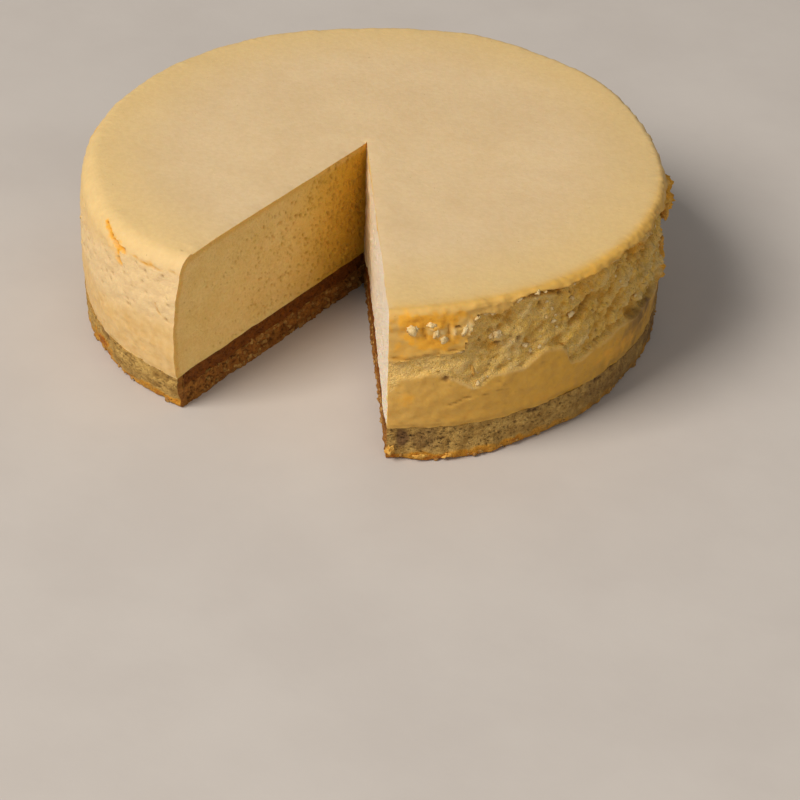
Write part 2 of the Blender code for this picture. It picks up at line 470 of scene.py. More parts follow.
@dataclass
class LayerGrid:
    """One layer's surface as grids that share their edges: outer side, two cut faces, two caps.

    Attributes:
        form: The cake's form.
        side: Points of the outside, shape (rows, columns, 3), top to bottom and right cut to left cut.
        right: Points of the cut at +X, shape (rows, columns, 3), from the tip outwards.
        left: The same for the cut at -X.
        masks: For each mask's name, its values on side, right and left, and its one value inside the caps.
        cap_spacing: Distance between the points inside the upper and the lower cap.
        rings: Radii of circles of points inside the upper cap, where it has a step.
    """

    form: CakeForm
    side: Array
    right: Array
    left: Array
    masks: dict[str, tuple[Array, Array, Array, float]]
    cap_spacing: tuple[float, float]
    rings: tuple[float, ...] = ()

    def __post_init__(self) -> None:
        """Gives the cuts the edges that they share with the outside and with each other."""
        self.right[:, -1], self.left[:, -1] = self.side[:, 0], self.side[:, -1]
        self.left[:, 0] = self.right[:, 0]

    def numbering(self) -> tuple[Array, Array, Array, int]:
        """Numbers the points so that shared edges share their points.

        Returns:
            The numbers on side, right and left, and how many there are.
        """
        rows, columns = self.side.shape[:2]
        side = np.arange(rows * columns).reshape(rows, columns)
        count = rows * columns
        right = np.empty(self.right.shape[:2], int)
        right[:, -1] = side[:, 0]
        right[:, :-1] = count + np.arange(rows * (right.shape[1] - 1)).reshape(rows, -1)
        count += rows * (right.shape[1] - 1)
        left = np.empty(self.left.shape[:2], int)
        left[:, 0] = right[:, 0]
        left[:, -1] = side[:, -1]
        left[:, 1:-1] = count + np.arange(rows * (left.shape[1] - 2)).reshape(rows, -1)
        return side, right, left, count + rows * (left.shape[1] - 2)

    def cap(
        self, loop: Array, border: Array, even: Array, spacing: float, first_new: int, given: Array
    ) -> tuple[Array, Array]:
        """Fills a closed outline with triangles that turn anticlockwise, seen from above.

        Args:
            loop: Numbers of the outline's points, in order.
            border: The outline's points, shape (points, 3).
            even: The same outline drawn so that it can't cross itself, shape (points, 2).
            spacing: Distance between the points inside, or 0 for none.
            first_new: The number that the first inside point gets.
            given: Inside points to use before the evenly spaced ones, shape (points, 2).

        Returns:
            The inside points, shape (points, 2), and the triangles.
        """
        inside = given[self.inside_outline(given, border, 0.0004)]
        if spacing > 0.0:
            steps = np.arange(-1.1, 1.1, spacing / self.form.radius) * self.form.radius
            x, y = np.meshgrid(steps, steps * math.sqrt(0.75))
            x = x + (np.arange(len(steps)) % 2)[:, None] * spacing / 2.0
            spots = np.stack([x.ravel(), y.ravel()], axis=-1)
            spots = spots[self.inside_outline(spots, border, 0.55 * spacing)]
            inside = np.concatenate([inside, spots])
        flat = np.concatenate([even, inside])
        ring = list(range(len(loop)))
        result = delaunay_2d_cdt([Vector(point) for point in flat], [], [ring], 1, 1e-9, True)
        first_of = [source[0] for source in result[3]]
        triangles = np.array([[first_of[corner] for corner in face] for face in result[2]])
        triangles = triangles[self.inside_outline(flat[triangles].mean(axis=1), even, 0.0)]
        a, b, c = (flat[triangles[:, corner]] for corner in range(3))
        area = (b[:, 0] - a[:, 0]) * (c[:, 1] - a[:, 1]) - (b[:, 1] - a[:, 1]) * (c[:, 0] - a[:, 0])
        triangles[area < 0.0] = triangles[area < 0.0][:, ::-1]
        numbers = np.concatenate([loop, first_new + np.arange(len(inside))])
        return inside, numbers[triangles]

    def even_outline(self, border: Array) -> Array:
        """A cap's outline with straight cuts and a round outside.

        Args:
            border: The outline's points from the tip along the cut at +X, round, and back, shape (points, 3).

        Returns:
            The points, shape (points, 2).
        """
        tip = self.form.tip_at(border[0, 2])
        away = border[:, :2] - tip
        first, last = self.right.shape[1] - 1, self.right.shape[1] + self.side.shape[1] - 1
        heading = (np.arctan2(away[:, 1], away[:, 0]) - self.form.right_cut + 0.1) % (2.0 * math.pi)
        heading += self.form.right_cut - 0.1
        heading[:first], heading[last:] = self.form.right_cut, self.form.left_cut
        reach = np.hypot(away[:, 0], away[:, 1])
        reach[first:last] = self.form.reach(heading[first:last], border[0, 2], 1.04 * self.form.radius)
        return tip + np.stack([np.cos(heading), np.sin(heading)], axis=-1) * reach[:, None]

    def inside_outline(self, flat: Array, border: Array, margin: float) -> Array:
        """Which points lie inside the outline and away from it.

        Args:
            flat: Candidate points, shape (points, 2).
            border: The outline's points, in order.
            margin: Least distance from the outline's points.

        Returns:
            True for each point that can be used.
        """
        x, y = flat[:, 0], flat[:, 1]
        within = np.zeros(len(flat), bool)
        nearest = np.full(len(flat), 9.0)
        for start, end in zip(border, np.roll(border, -1, axis=0)):
            crosses = (start[1] > y) != (end[1] > y)
            rise = end[1] - start[1] if end[1] != start[1] else 1e-12
            within ^= crosses & (x < (end[0] - start[0]) * (y - start[1]) / rise + start[0])
            nearest = np.minimum(nearest, (x - start[0]) ** 2 + (y - start[1]) ** 2)
        return within & (nearest >= margin**2)

    def ring_points(self) -> Array:
        """Evenly spaced points on the rings, shape (points, 2)."""
        turn = np.linspace(0.0, 2.0 * math.pi, 720, endpoint=False)
        circle = np.stack([np.cos(turn), np.sin(turn)], axis=-1)
        shift = self.form.outline_shift(self.form.angle_at(circle[:, 0], circle[:, 1]))
        rings = [circle * (radius + shift)[:, None] for radius in self.rings]
        return np.concatenate([np.zeros((0, 2))] + rings)

    def build(self, name: str, top_height: Callable[[Array], Array] | None = None) -> bpy.types.Object:
        """Joins the grids and caps into one closed mesh object.

        Args:
            name: Name of the object.
            top_height: Gives the height of the upper cap's inside points, or None for flat.

        Returns:
            The object, linked to the scene.
        """
        side, right, left, count = self.numbering()
        points = np.empty((count, 3))
        for numbers, places in ((side, self.side), (right, self.right), (left, self.left)):
            points[numbers] = places
        quads = [grid_quads(side, False), grid_quads(right, False), grid_quads(left, True)]
        kinds = [np.full(len(quads[0]), 0), np.full(len(quads[1]), 1), np.full(len(quads[2]), 1)]
        triangles = []
        for row, spacing in ((0, self.cap_spacing[0]), (-1, self.cap_spacing[1])):
            loop = np.concatenate([right[row], side[row, 1:], left[row, -2:0:-1]])
            given = self.ring_points() if row == 0 else np.zeros((0, 2))
            even = self.even_outline(points[loop])
            inside, faces = self.cap(loop, points[loop], even, spacing, len(points), given)
            heights = np.full(len(inside), points[loop, 2].mean())
            if row == 0 and top_height is not None:
                heights = top_height(inside)
            points = np.concatenate([points, np.column_stack([inside, heights])])
            triangles.append(faces if row == 0 else faces[:, ::-1])
            kinds.append(np.full(len(faces), 0))
        faces = [face.tolist() for group in quads + triangles for face in group]
        mesh = bpy.data.meshes.new(name)
        mesh.from_pydata(self.form.placed(points), [], faces)
        mesh.polygons.foreach_set("material_index", np.concatenate(kinds).astype(np.int32))
        for mask, values in self.masks.items():
            spread = np.full(len(points), values[3], np.float32)
            for numbers, grid in zip((left, right, side), (values[2], values[1], values[0])):
                spread[numbers] = grid
            mesh.attributes.new(mask, "FLOAT", "POINT").data.foreach_set("value", spread)
        mesh.shade_smooth()
        self.sharpen(mesh, np.concatenate(kinds))
        return linked(name, mesh)

    def sharpen(self, mesh: bpy.types.Mesh, kinds: Array) -> None:
        """Makes edges sharp where they bend strongly or part a cut from the rest.

        Args:
            mesh: The mesh.
            kinds: Material number of each face.
        """
        mesh.set_sharp_from_angle(angle=SHARP_BEND)
        edges = np.empty(len(mesh.loops), np.int32)
        mesh.loops.foreach_get("edge_index", edges)
        sizes = np.empty(len(mesh.polygons), np.int32)
        mesh.polygons.foreach_get("loop_total", sizes)
        cut = np.zeros(len(mesh.edges))
        np.add.at(cut, edges, np.repeat(kinds, sizes))
        sharp = np.empty(len(mesh.edges), bool)
        mesh.edges.foreach_get("use_edge_sharp", sharp)
        mesh.edges.foreach_set("use_edge_sharp", sharp | (cut == 1))


def grid_quads(numbers: Array, flipped: bool) -> Array:
    """Four-cornered faces of a grid of numbered points.

    Args:
        numbers: Point numbers, shape (rows, columns).
        flipped: Whether the faces turn the other way.

    Returns:
        The faces, shape (faces, 4).
    """
    corners = [numbers[:-1, :-1], numbers[1:, :-1], numbers[1:, 1:], numbers[:-1, 1:]]
    faces = np.stack(corners, axis=-1).reshape(-1, 4)
    return faces[:, ::-1] if flipped else faces


# --------------------------------------------------------------------------- the filling


@dataclass
class CheeseFilling:
    """The set filling: tan skin on top and round the outside, torn where the tin took it, pale where cut.

    Attributes:
        form: The cake's form.
        bottom: Height of its flat underside.
        belly: Its widest radius.
        seam_radius: Radius of its lower edge.
        columns: Steps round the outside.
        rim_rows: Steps down the rounded rim.
        side_rows: Steps down the side below the rim.
        cut_columns: Steps along the cut at +X and the cut at -X.
        rim_round: Radius of the rounded rim, in millimetres, round the cake.
        shoulder: How much narrower the top is than the middle, in millimetres, round the cake.
        upper_edge: Lower edge of the top skin, in millimetres, round the cake.
        lower_edge: Upper edge of the smooth lower band, in millimetres.
        torn_depth: How far the torn band is set back, in millimetres.
        painted_shade: Painted shade, from 0 to 1, round the cake: the side away from the key light takes
            darker, more saturated colours.
        cracks: Splits, creases and, with a depth below 0, ridges.
        toasts_and_shade: Orange patches; the one at 99 degrees and 21 mm high also paints shade low on the
            far right.
        shades: Darker brown areas, from overbaking and from painted shade: degrees round, height, half
            lengths round and up, and strength.
        bulges: Where the side stands out, in millimetres.
        curds: Pale lumps that stand out.
        holes: Single pits: degrees round, height, radius and depth in millimetres.
        side: Points of the outside in the shared frame, once it is built.
    """

    form: CakeForm
    bottom: float
    belly: float = 0.1013
    seam_radius: float = 0.1001
    columns: int = 740
    rim_rows: int = 11
    side_rows: int = 68
    cut_columns: tuple[int, int] = (120, 250)
    rim_round: Course = Course(
        (
            (20.0, 2.4), (36.0, 2.0), (60.0, 2.0), (110.0, 2.6), (180.0, 4.4), (275.0, 5.5),
            (300.0, 7.0), (338.0, 6.0),
        )
    )
    shoulder: Course = Course(
        (
            (20.0, 0.4), (60.0, 0.3), (110.0, 0.9), (150.0, 0.4), (240.0, 0.6), (285.0, 1.2),
            (315.0, 1.6), (340.0, 3.2),
        )
    )
    upper_edge: Course = Course(
        (
            (20.0, 41.0), (33.0, 43.5), (34.4, 50.0), (35.6, 55.0), (38.0, 55.6), (40.0, 54.6),
            (42.5, 56.4), (44.5, 58.2), (47.5, 58.3), (50.0, 57.6), (53.0, 56.6), (57.0, 57.2),
            (64.0, 56.8), (69.0, 57.3), (76.0, 57.3), (90.0, 56.2), (104.0, 54.0), (118.0, 55.5),
            (150.0, 53.0), (190.0, 55.5), (240.0, 52.0), (280.0, 45.0), (300.0, 47.0), (314.0, 50.5),
            (322.0, 54.5), (332.0, 55.5), (340.0, 57.5),
        )
    )
    lower_edge: Course = Course(
        (
            (20.0, 30.5), (21.5, 34.5), (25.0, 35.5), (28.3, 35.0), (31.0, 33.0), (33.0, 31.0),
            (34.8, 28.3), (36.5, 28.3), (38.5, 31.2), (45.0, 31.5), (48.0, 34.3), (50.5, 35.8),
            (53.5, 34.3), (55.0, 31.0), (55.9, 26.5), (58.5, 25.5), (63.0, 27.5), (70.0, 28.5),
            (80.0, 27.0), (95.0, 24.0), (110.0, 30.0), (140.0, 33.0), (165.0, 27.0), (200.0, 35.0),
            (235.0, 28.0), (270.0, 34.0), (300.0, 33.0), (315.0, 30.0), (325.0, 33.5), (333.0, 34.5),
            (340.0, 36.0),
        )
    )
    torn_depth: Course = Course(
        (
            (20.0, 0.5), (30.0, 0.9), (37.0, 2.1), (60.0, 2.3), (100.0, 2.2), (140.0, 1.6), (170.0, 1.9),
            (220.0, 1.3), (262.0, 1.6), (290.0, 0.12), (312.0, 0.0), (340.0, 0.0),
        )
    )
    # Painted shade round the side: strongest towards the cut at +X, which faces away from the key light, and
    # none towards the cut at -X.
    painted_shade: Course = Course(
        (
            (20.0, 0.65), (40.0, 0.85), (60.0, 1.0), (140.0, 0.9), (200.0, 0.5), (260.0, 0.15),
            (300.0, 0.0), (340.0, 0.0),
        )
    )
    cracks: tuple[Crack, ...] = (
        Crack(((30.6, 22.6), (33.0, 24.2), (35.6, 25.0), (38.4, 24.3)), 0.7, 0.6),
        Crack(((39.4, 25.1), (42.2, 24.7)), 0.5, 0.35),
        Crack(((54.6, 34.0), (56.5, 37.0), (59.0, 40.5), (62.2, 44.5)), 3.4, -1.3, 0.25),
        Crack(((56.0, 40.0), (57.4, 41.2), (58.4, 42.6), (60.6, 46.2), (62.4, 47.6)), 1.3, 2.4, 0.85),
        Crack(((20.0, 42.2), (23.0, 41.6), (24.6, 42.6), (29.0, 43.4), (33.5, 44.4)), 1.0, 0.6, 0.45),
        Crack(((25.4, 52.8), (25.8, 49.2)), 1.6, 0.9, 0.75),
        Crack(((30.2, 53.4), (30.0, 48.0)), 1.2, 0.8, 0.65),
        Crack(((43.2, 55.6), (44.6, 57.4), (47.6, 57.5), (50.5, 56.8), (52.5, 55.6)), 2.0, 1.6, 1.1),
        Crack(((52.5, 55.6), (57.0, 56.2), (61.0, 56.0), (64.0, 55.8)), 1.7, 1.4, 1.0),
        Crack(
            ((64.0, 55.8), (68.0, 56.6), (74.0, 56.3), (82.0, 55.6), (92.0, 54.8), (104.0, 52.6)),
            1.9, 1.4, 0.95,
        ),
        Crack(((311.6, 57.3), (314.2, 56.6), (316.6, 54.6), (318.6, 53.6)), 1.1, 1.9, 1.45),
        Crack(((316.6, 54.9), (318.4, 53.9), (320.2, 53.6)), 1.8, 2.2, 1.45),
        Crack(((318.2, 53.0), (318.6, 51.0), (319.2, 48.6)), 0.8, 1.0, 1.0),
        Crack(((318.8, 49.3), (319.7, 48.4)), 1.4, 1.3, 1.0),
        Crack(
            ((320.6, 53.4), (323.5, 53.9), (327.0, 53.0), (330.0, 53.4), (333.5, 54.2), (339.5, 55.4)),
            0.6, 0.6, 0.6,
        ),
        Crack(((330.2, 40.5), (330.6, 38.6), (331.4, 37.0), (333.6, 35.8)), 0.55, 0.6, 0.5),
        Crack(((150.0, 54.0), (156.0, 55.5), (163.0, 53.5)), 1.2, 1.6, 0.8),
        Crack(((224.0, 51.5), (229.0, 53.2), (236.0, 52.4)), 1.0, 1.4, 0.7),
    )
    # The patch at 99 degrees and 21 mm high paints shade low on the far right; the others are baked orange.
    toasts_and_shade: tuple[Patch, ...] = (
        Patch(25.5, 55.0, 15.5, 4.4, 0.95), Patch(22.5, 52.0, 6.0, 4.5, 0.6),
        Patch(27.0, 47.8, 12.0, 3.6, 0.85), Patch(22.5, 45.0, 5.0, 4.0, 0.45),
        Patch(22.0, 26.0, 3.6, 6.5, 0.42), Patch(40.0, 54.5, 6.0, 2.0, 0.3),
        Patch(47.0, 57.0, 5.0, 1.5, 0.35), Patch(54.0, 54.0, 3.0, 1.2, 0.6),
        Patch(60.0, 57.5, 7.0, 2.2, 0.35), Patch(106.0, 48.0, 10.0, 8.0, 0.95),
        Patch(101.0, 30.0, 7.0, 9.0, 0.9), Patch(99.0, 21.0, 14.0, 8.0, 1.0),
        Patch(275.0, 56.5, 6.0, 2.2, 0.5), Patch(287.0, 33.0, 6.0, 6.5, 0.55),
        Patch(317.6, 54.4, 6.0, 3.4, 0.5), Patch(319.0, 49.0, 2.4, 2.2, 0.5),
        Patch(327.5, 53.6, 3.4, 1.8, 0.42), Patch(60.0, 52.0, 14.0, 3.6, 0.42),
        Patch(80.0, 50.5, 18.0, 5.0, 0.62), Patch(72.0, 20.0, 20.0, 5.0, 0.5),
        Patch(52.0, 17.0, 16.0, 3.0, 0.3), Patch(33.0, 17.0, 12.0, 2.4, 0.22),
        Patch(148.0, 50.0, 14.0, 5.0, 0.4), Patch(212.0, 24.0, 12.0, 6.0, 0.35),
    )
    # The entries from 73 to 95 degrees paint shade into the dark parts of the far right; those at 150 and 205
    # degrees are overbaked areas; the thin ones at 14.5 mm darken the side just above the seam.
    shades: tuple[tuple[float, float, float, float, float], ...] = (
        (80.5, 24.0, 10.0, 7.0, 0.80), (95.0, 19.0, 14.0, 6.0, 0.75), (73.0, 15.5, 14.0, 5.0, 0.50),
        (80.0, 40.0, 4.0, 2.2, 0.45), (85.0, 51.0, 6.0, 3.0, 0.35), (58.0, 14.5, 22.0, 1.4, 0.30),
        (30.0, 14.5, 12.0, 1.0, 0.30), (150.0, 17.0, 26.0, 3.0, 0.35), (205.0, 26.0, 14.0, 6.0, 0.30),
    )
    bulges: tuple[Patch, ...] = (
        Patch(105.5, 47.5, 7.5, 7.5, 4.0), Patch(100.0, 30.0, 12.0, 6.0, 1.2),
        Patch(106.0, 17.0, 9.0, 4.0, 1.6), Patch(186.0, 40.0, 12.0, 7.0, 1.2),
    )
    curds: tuple[Patch, ...] = (
        Patch(23.8, 51.8, 1.8, 2.1, 0.8), Patch(27.6, 52.8, 2.6, 1.3, 1.0),
        Patch(28.7, 49.8, 1.3, 2.6, 0.9), Patch(31.0, 50.5, 0.8, 2.0, 0.7),
        Patch(34.0, 51.5, 1.5, 3.0, 0.7), Patch(39.8, 45.8, 2.0, 1.6, 0.7),
        Patch(57.0, 43.8, 1.8, 1.2, 0.8), Patch(43.0, 40.5, 7.0, 4.2, 0.35),
    )
    holes: tuple[tuple[float, float, float, float], ...] = (
        (29.7, 33.0, 1.3, 1.3), (31.8, 52.2, 0.75, 1.8), (40.0, 42.2, 1.2, 1.0), (44.0, 42.6, 1.4, 0.9),
        (49.0, 52.4, 0.9, 1.2), (53.7, 54.0, 1.3, 1.2), (70.5, 50.5, 1.5, 1.2), (326.6, 50.2, 0.6, 0.8),
        (326.0, 46.0, 0.6, 0.9), (331.0, 51.6, 0.7, 0.9), (332.8, 44.0, 0.5, 0.6),
    )

    side: Array = field(init=False, repr=False)

    def rows(self, angle: Array) -> tuple[Array, Array, Array]:
        """Radius, height and slope of the outside before any unevenness.

        Args:
            angle: Degrees round the cake for each column.

        Returns:
            Radius, height and upward share of the outward direction, each of shape (rows, columns).
        """
        rounding = self.rim_round.at(angle)[None, :] * MM
        turn = np.radians(90.0 * (1.0 - even_steps(self.rim_rows)[:, None]))
        rim_radius = self.belly - rounding + rounding * np.cos(turn)
        rim_height = self.form.height - rounding + rounding * np.sin(turn)
        share = even_steps(self.side_rows)[1:, None]
        side_height = (self.form.height - rounding) * (1.0 - share) + self.bottom * share
        tuck = ease_between(0.72, 1.0, share)
        side_radius = self.belly + (self.seam_radius - self.belly) * tuck + 0.0 * rounding
        radius = np.concatenate([rim_radius, side_radius])
        height = np.concatenate([rim_height, side_height])
        radius -= self.shoulder.at(angle)[None, :] * MM * ease_between(0.032, 0.058, height)
        upward = np.concatenate([np.sin(turn) + 0.0 * rounding, np.zeros(side_height.shape)])
        return radius, height, upward

    def surface(self, angle: Array, height: Array) -> dict[str, Array]:
        """Relief and masks of the outside at each place.

        Args:
            angle: Degrees round the cake.
            height: Heights over the plate.

        Returns:
            Outward shift under "out", and the masks "inside_mm", "toast", "pale", "pit" and "shade".
        """
        radius = self.form.radius
        arc = np.radians(angle) * radius
        flat = np.stack([arc, height, np.zeros(arc.shape)], axis=-1)
        slant = height - 0.55 * arc
        smeared = np.stack([arc * 0.42 + height * 0.35, slant, np.zeros(arc.shape)], axis=-1)
        wide = layered_noise(flat, 0.0065, 11, 4)
        upper = self.upper_edge.at(angle) * MM + 0.0011 * wide
        lower = self.lower_edge.at(angle) * MM + 0.0009 * layered_noise(flat, 0.006, 13, 4)
        inside = np.minimum(upper - height, height - lower)
        torn = ease_between(-0.0002, 0.0006, inside)
        depth = self.torn_depth.at(angle) * MM
        share = np.clip((height - lower) / (upper - lower), 0.0, 1.0)
        smear = layered_noise(smeared, 0.0060, 21, 5, 0.62)
        lumps = 0.42 - grain_distance(smeared + 0.0012 * wide[..., None], 0.0044, 23)
        crumble = 0.42 - grain_distance(flat, 0.0021, 25)
        rough = 0.0012 * smear + 0.0014 * lumps + 0.0009 * crumble
        rough = rough * np.clip(depth / FULL_SET_BACK, 0.10, 1.1)
        rough = rough * (1.0 + 0.8 * ease_between(58.0, 78.0, angle))
        swell = 0.0006 * np.sin(np.clip(height / self.form.height, 0.0, 1.0) * 9.0 + 1.2)
        skin = 0.00026 * layered_noise(flat, 0.011, 31, 3) + 0.00025 * layered_noise(flat, 0.0026, 33, 4, 0.6)
        out = skin + 0.35 * swell - torn * depth * (0.62 + 0.38 * share) + torn * rough
        set_back = share_of(depth, FULL_SET_BACK)
        out += 0.00045 * np.exp(-(((inside + 0.0006) / 0.0007) ** 2)) * (height > 0.040) * set_back
        ripple = 0.00055 * (1.0 - 0.6 * ease_between(112.0, 140.0, angle))
        ripple = ripple * layered_noise(flat, 0.0068, 35, 5, 0.7)
        out += ripple * ease_between(0.040, 0.050, height) * (0.35 + set_back)
        blur = 0.35 * layered_noise(flat, 0.0030, 41, 3)
        toast = strongest(self.toasts_and_shade, angle, height, radius, blur)
        # Darker brown areas: overbaking, and painted shade on the far right.
        shade = self.shading(angle, height) * (1.0 + 1.2 * blur)
        pale = strongest(self.curds, angle, height, radius, 0.6 * blur)
        out += 0.0008 * pale + MM * strongest(self.bulges, angle, height, radius, blur)
        # Painted highlights: pale colour along the rounded top edge of the smooth lower band, and on raised
        # lumps of the torn band.
        lip = np.exp(-(((height - lower + 0.0005) / 0.0006) ** 2)) * (0.55 + 0.45 * wide) * set_back
        raised = 0.55 * set_back * torn * ease_between(0.0001, 0.0014, rough)
        pale = np.maximum(pale, np.maximum(0.5 * lip, raised))
        # Painted shade in the hollows of the torn band, as orange through the toast mask and as dark brown
        # through the shade mask.
        hollow_shade = torn * ease_between(0.0001, 0.0014, -rough) * set_back
        toast = np.maximum(toast, 0.62 * hollow_shade)
        # Painted shadow under the top skin's edge, along the upper edge of the torn band, and painted shade
        # in the torn band's hollows.
        under = np.exp(-(((upper - height - 0.0009) / 0.0010) ** 2)) * (0.7 + 0.6 * wide)
        shade = np.maximum(shade, 0.62 * torn * set_back * np.clip(under, 0.0, 1.0))
        shade = np.maximum(shade, 0.36 * hollow_shade)
        pit = np.zeros(arc.shape)
        for crack in self.cracks:
            away = crack.distance_mm(angle, height, radius) + 1.1 * np.abs(blur)
            dug = 1.0 - ease_between(0.1, 1.0, away / (0.5 * crack.width_mm + 0.25))
            out -= crack.depth_mm * MM * dug
            pit = np.maximum(pit, dug * (0.5 if crack.depth_mm > 0.0 else 0.0))
            near = 1.0 - ease_between(0.1, 1.0, away / (0.6 * crack.width_mm + 0.7))
            toast = np.maximum(toast, crack.toast * near)
        dug = dig_holes(arc, height, self.holes, radius)
        scattered, sizes, depths = self.scattered_pits()
        small = dig_pits(arc, height, scattered, sizes, depths, 0.7)
        small = small * np.where(torn > 0.5, 1.0, 0.35)
        dug = np.maximum(dug, small)
        pit = np.maximum(pit, share_of(dug, 0.0009))
        seam = np.exp(-(((height - self.bottom) / 0.0012) ** 2))
        out -= 0.0007 * seam * (0.6 + 0.4 * layered_noise(flat, 0.004, 51, 2))
        masks = {"inside_mm": inside / MM, "toast": toast, "pale": pale, "pit": pit, "shade": shade}
        return {"out": out - dug} | masks

    def shading(self, angle: Array, height: Array) -> Array:
        """How dark brown each place of the side is, from overbaking and painted shade, fading out softly."""
        strength = np.zeros(angle.shape)
        for mid, level, half_turn, half_height, most in self.shades:
            away = (turn_between(angle, mid) / half_turn) ** 2 + ((height / MM - level) / half_height) ** 2
            strength = np.maximum(strength, most * np.exp(-away))
        return strength

    def scattered_pits(self) -> tuple[Array, Array, Array]:
        """Many small pits all over the side.

        Returns:
            Their centres along and up the side, radii and depths.
        """
        rng = np.random.default_rng(7)
        count = 900
        arc = rng.uniform(math.radians(20.0), math.radians(340.0), count) * self.form.radius
        height = rng.uniform(self.bottom + 0.002, self.form.height - 0.006, count)
        size = rng.uniform(0.35, 0.9, count) * MM
        return np.column_stack([arc, height]), size, size * rng.uniform(0.5, 1.1, count)

    def cut_relief(self, along: Array, height: Array, seed: int, pores: int) -> tuple[Array, Array]:
        """Relief of one cut face.

        Args:
            along: Distance from the tip.
            height: Heights over the plate.
            seed: Picks one of many patterns.
            pores: Number of pores.

        Returns:
            Depth below the cutting plane, and how far down a pore each place lies, from 0 to 1.
        """
        rng = np.random.default_rng(seed)
        reach = float(along.max())
        place = reach * (0.02 + 0.96 * rng.beta(1.0, 1.7, pores))
        centres = np.column_stack([place, rng.uniform(self.bottom, self.form.height, pores)])
        size = (0.36 + 0.75 * rng.random(pores) ** 2.5 * (1.2 - place / reach)) * MM
        dug = dig_pits(along, height, centres, size, size * rng.uniform(0.7, 1.3, pores), 0.85)
        flat = np.stack([along, height, np.full(along.shape, 0.01 * seed)], axis=-1)
        drag = np.stack([along * 0.5, height, np.full(along.shape, 0.02 * seed)], axis=-1)
        wave = 0.0004 * layered_noise(flat, 0.020, seed + 1, 2)
        wave = wave + 0.00030 * layered_noise(drag, 0.0020, seed + 2, 4, 0.7)
        return dug - wave, share_of(dug, 0.0008)

    def cut_face(
        self, edge: Array, heading: float, columns: int, seed: int, pores: int
    ) -> tuple[Array, dict[str, Array]]:
        """One cut face as a grid between the tip and the outside.

        Args:
            edge: The outside's points at this cut, shape (rows, 3).
            heading: Heading of the cut.
            columns: Steps from the tip to the outside.
            seed: Picks one of many patterns.
            pores: Number of pores.

        Returns:
            The points, shape (rows, columns + 1, 3), and the face's masks.
        """
        reach = self.form.edge_reach(edge)
        share = even_steps(columns)[None, :]
        along = reach * share
        height = edge[:, 2][:, None] + 0.0 * along
        depth, pit = self.cut_relief(along, height, seed, pores)
        from_top = edge[0, 2] - height
        from_side = (reach - along) * 0.97
        rind = np.minimum(from_top, from_side)
        hold = ease_between(0.0, 0.0012, np.minimum(rind, along))
        hold *= ease_between(0.0, 0.0008, height - self.bottom)
        points = self.form.cut_points(heading, along, height, depth * hold)
        near_top = 1.0 - ease_between(0.0, 0.012, from_top)
        points[..., 2] -= self.form.top_sink(points) * near_top * (share < 1.0)
        seam = self.form.seam_rise(points)
        points[..., 2] += (seam - seam[:, -1:]) * self.near_seam(height)
        # Painted shade on a cut face grows towards the tip, where the narrow wedge lies in shade.
        masks = {"rind_mm": rind / MM, "pit": pit * hold, "painted_shade": 1.0 - ease_between(0.0, 0.055, along)}
        masks |= {name: 0.0 * pit for name in ("toast", "pale", "shade", "inside_mm")}
        return points, masks

    def build(self) -> bpy.types.Object:
        """Makes the filling's closed mesh.

        Returns:
            The mesh object, whose faces take material number 0 on the outside and 1 on the cuts.
        """
        form = self.form
        heading = form.headings(self.columns)
        first = form.on_circle(heading, form.height, self.belly)
        angle = form.angle_at(first[..., 0], first[..., 1])[0]
        radius, height, upward = self.rows(angle)
        heading = heading + 0.0 * height
        angle = angle[None, :] + 0.0 * height
        marks = self.surface(angle, height)
        outward = np.sqrt(1.0 - upward**2)
        total = radius + form.outline_shift(angle) + marks["out"] * outward
        side = form.from_tip(heading, height, form.reach(heading, height, total))
        side[..., 2] += form.seam_rise(side) * self.near_seam(height) + marks["out"] * upward * 0.5
        side[..., 2] -= form.top_sink(side)
        right, right_masks = self.cut_face(side[:, 0], form.right_cut, self.cut_columns[0], 61, 260)
        left, left_masks = self.cut_face(side[:, -1], form.left_cut, self.cut_columns[1], 71, 1300)
        outside = {name: marks[name] for name in ("inside_mm", "toast", "pale", "pit", "shade")}
        outside["painted_shade"] = self.painted_shade.at(angle)
        outside["rind_mm"] = np.zeros(height.shape)
        # Painted shade on the cuts: faint on the lit cut at +X, strong on the cut at -X, which faces away
        # from the key light.
        right_masks["painted_shade"] *= 0.35
        left_masks["painted_shade"] = 0.7 + 0.3 * left_masks["painted_shade"]
        self.side = form.placed(side)
        inner = {"inside_mm": -20.0, "painted_shade": 0.3}
        masks = {
            name: (values, right_masks[name], left_masks[name], inner.get(name, 0.0))
            for name, values in outside.items()
        }
        grid = LayerGrid(form, side, right, left, masks, (0.0030, 0.0))
        return grid.build("cheese_filling_visual", self.top_at)

    def near_seam(self, height: Array) -> Array:
        """1 at the lower edge, fading to 0 some way up."""
        return np.exp(-(((height - self.bottom) / 0.004) ** 2))

    def top_at(self, flat: Array) -> Array:
        """Height of the top at each place, shape (points, 2)."""
        points = np.column_stack([flat, np.full(len(flat), self.form.height)])
        return self.form.height - self.form.top_sink(points)


# --------------------------------------------------------------------------- the base


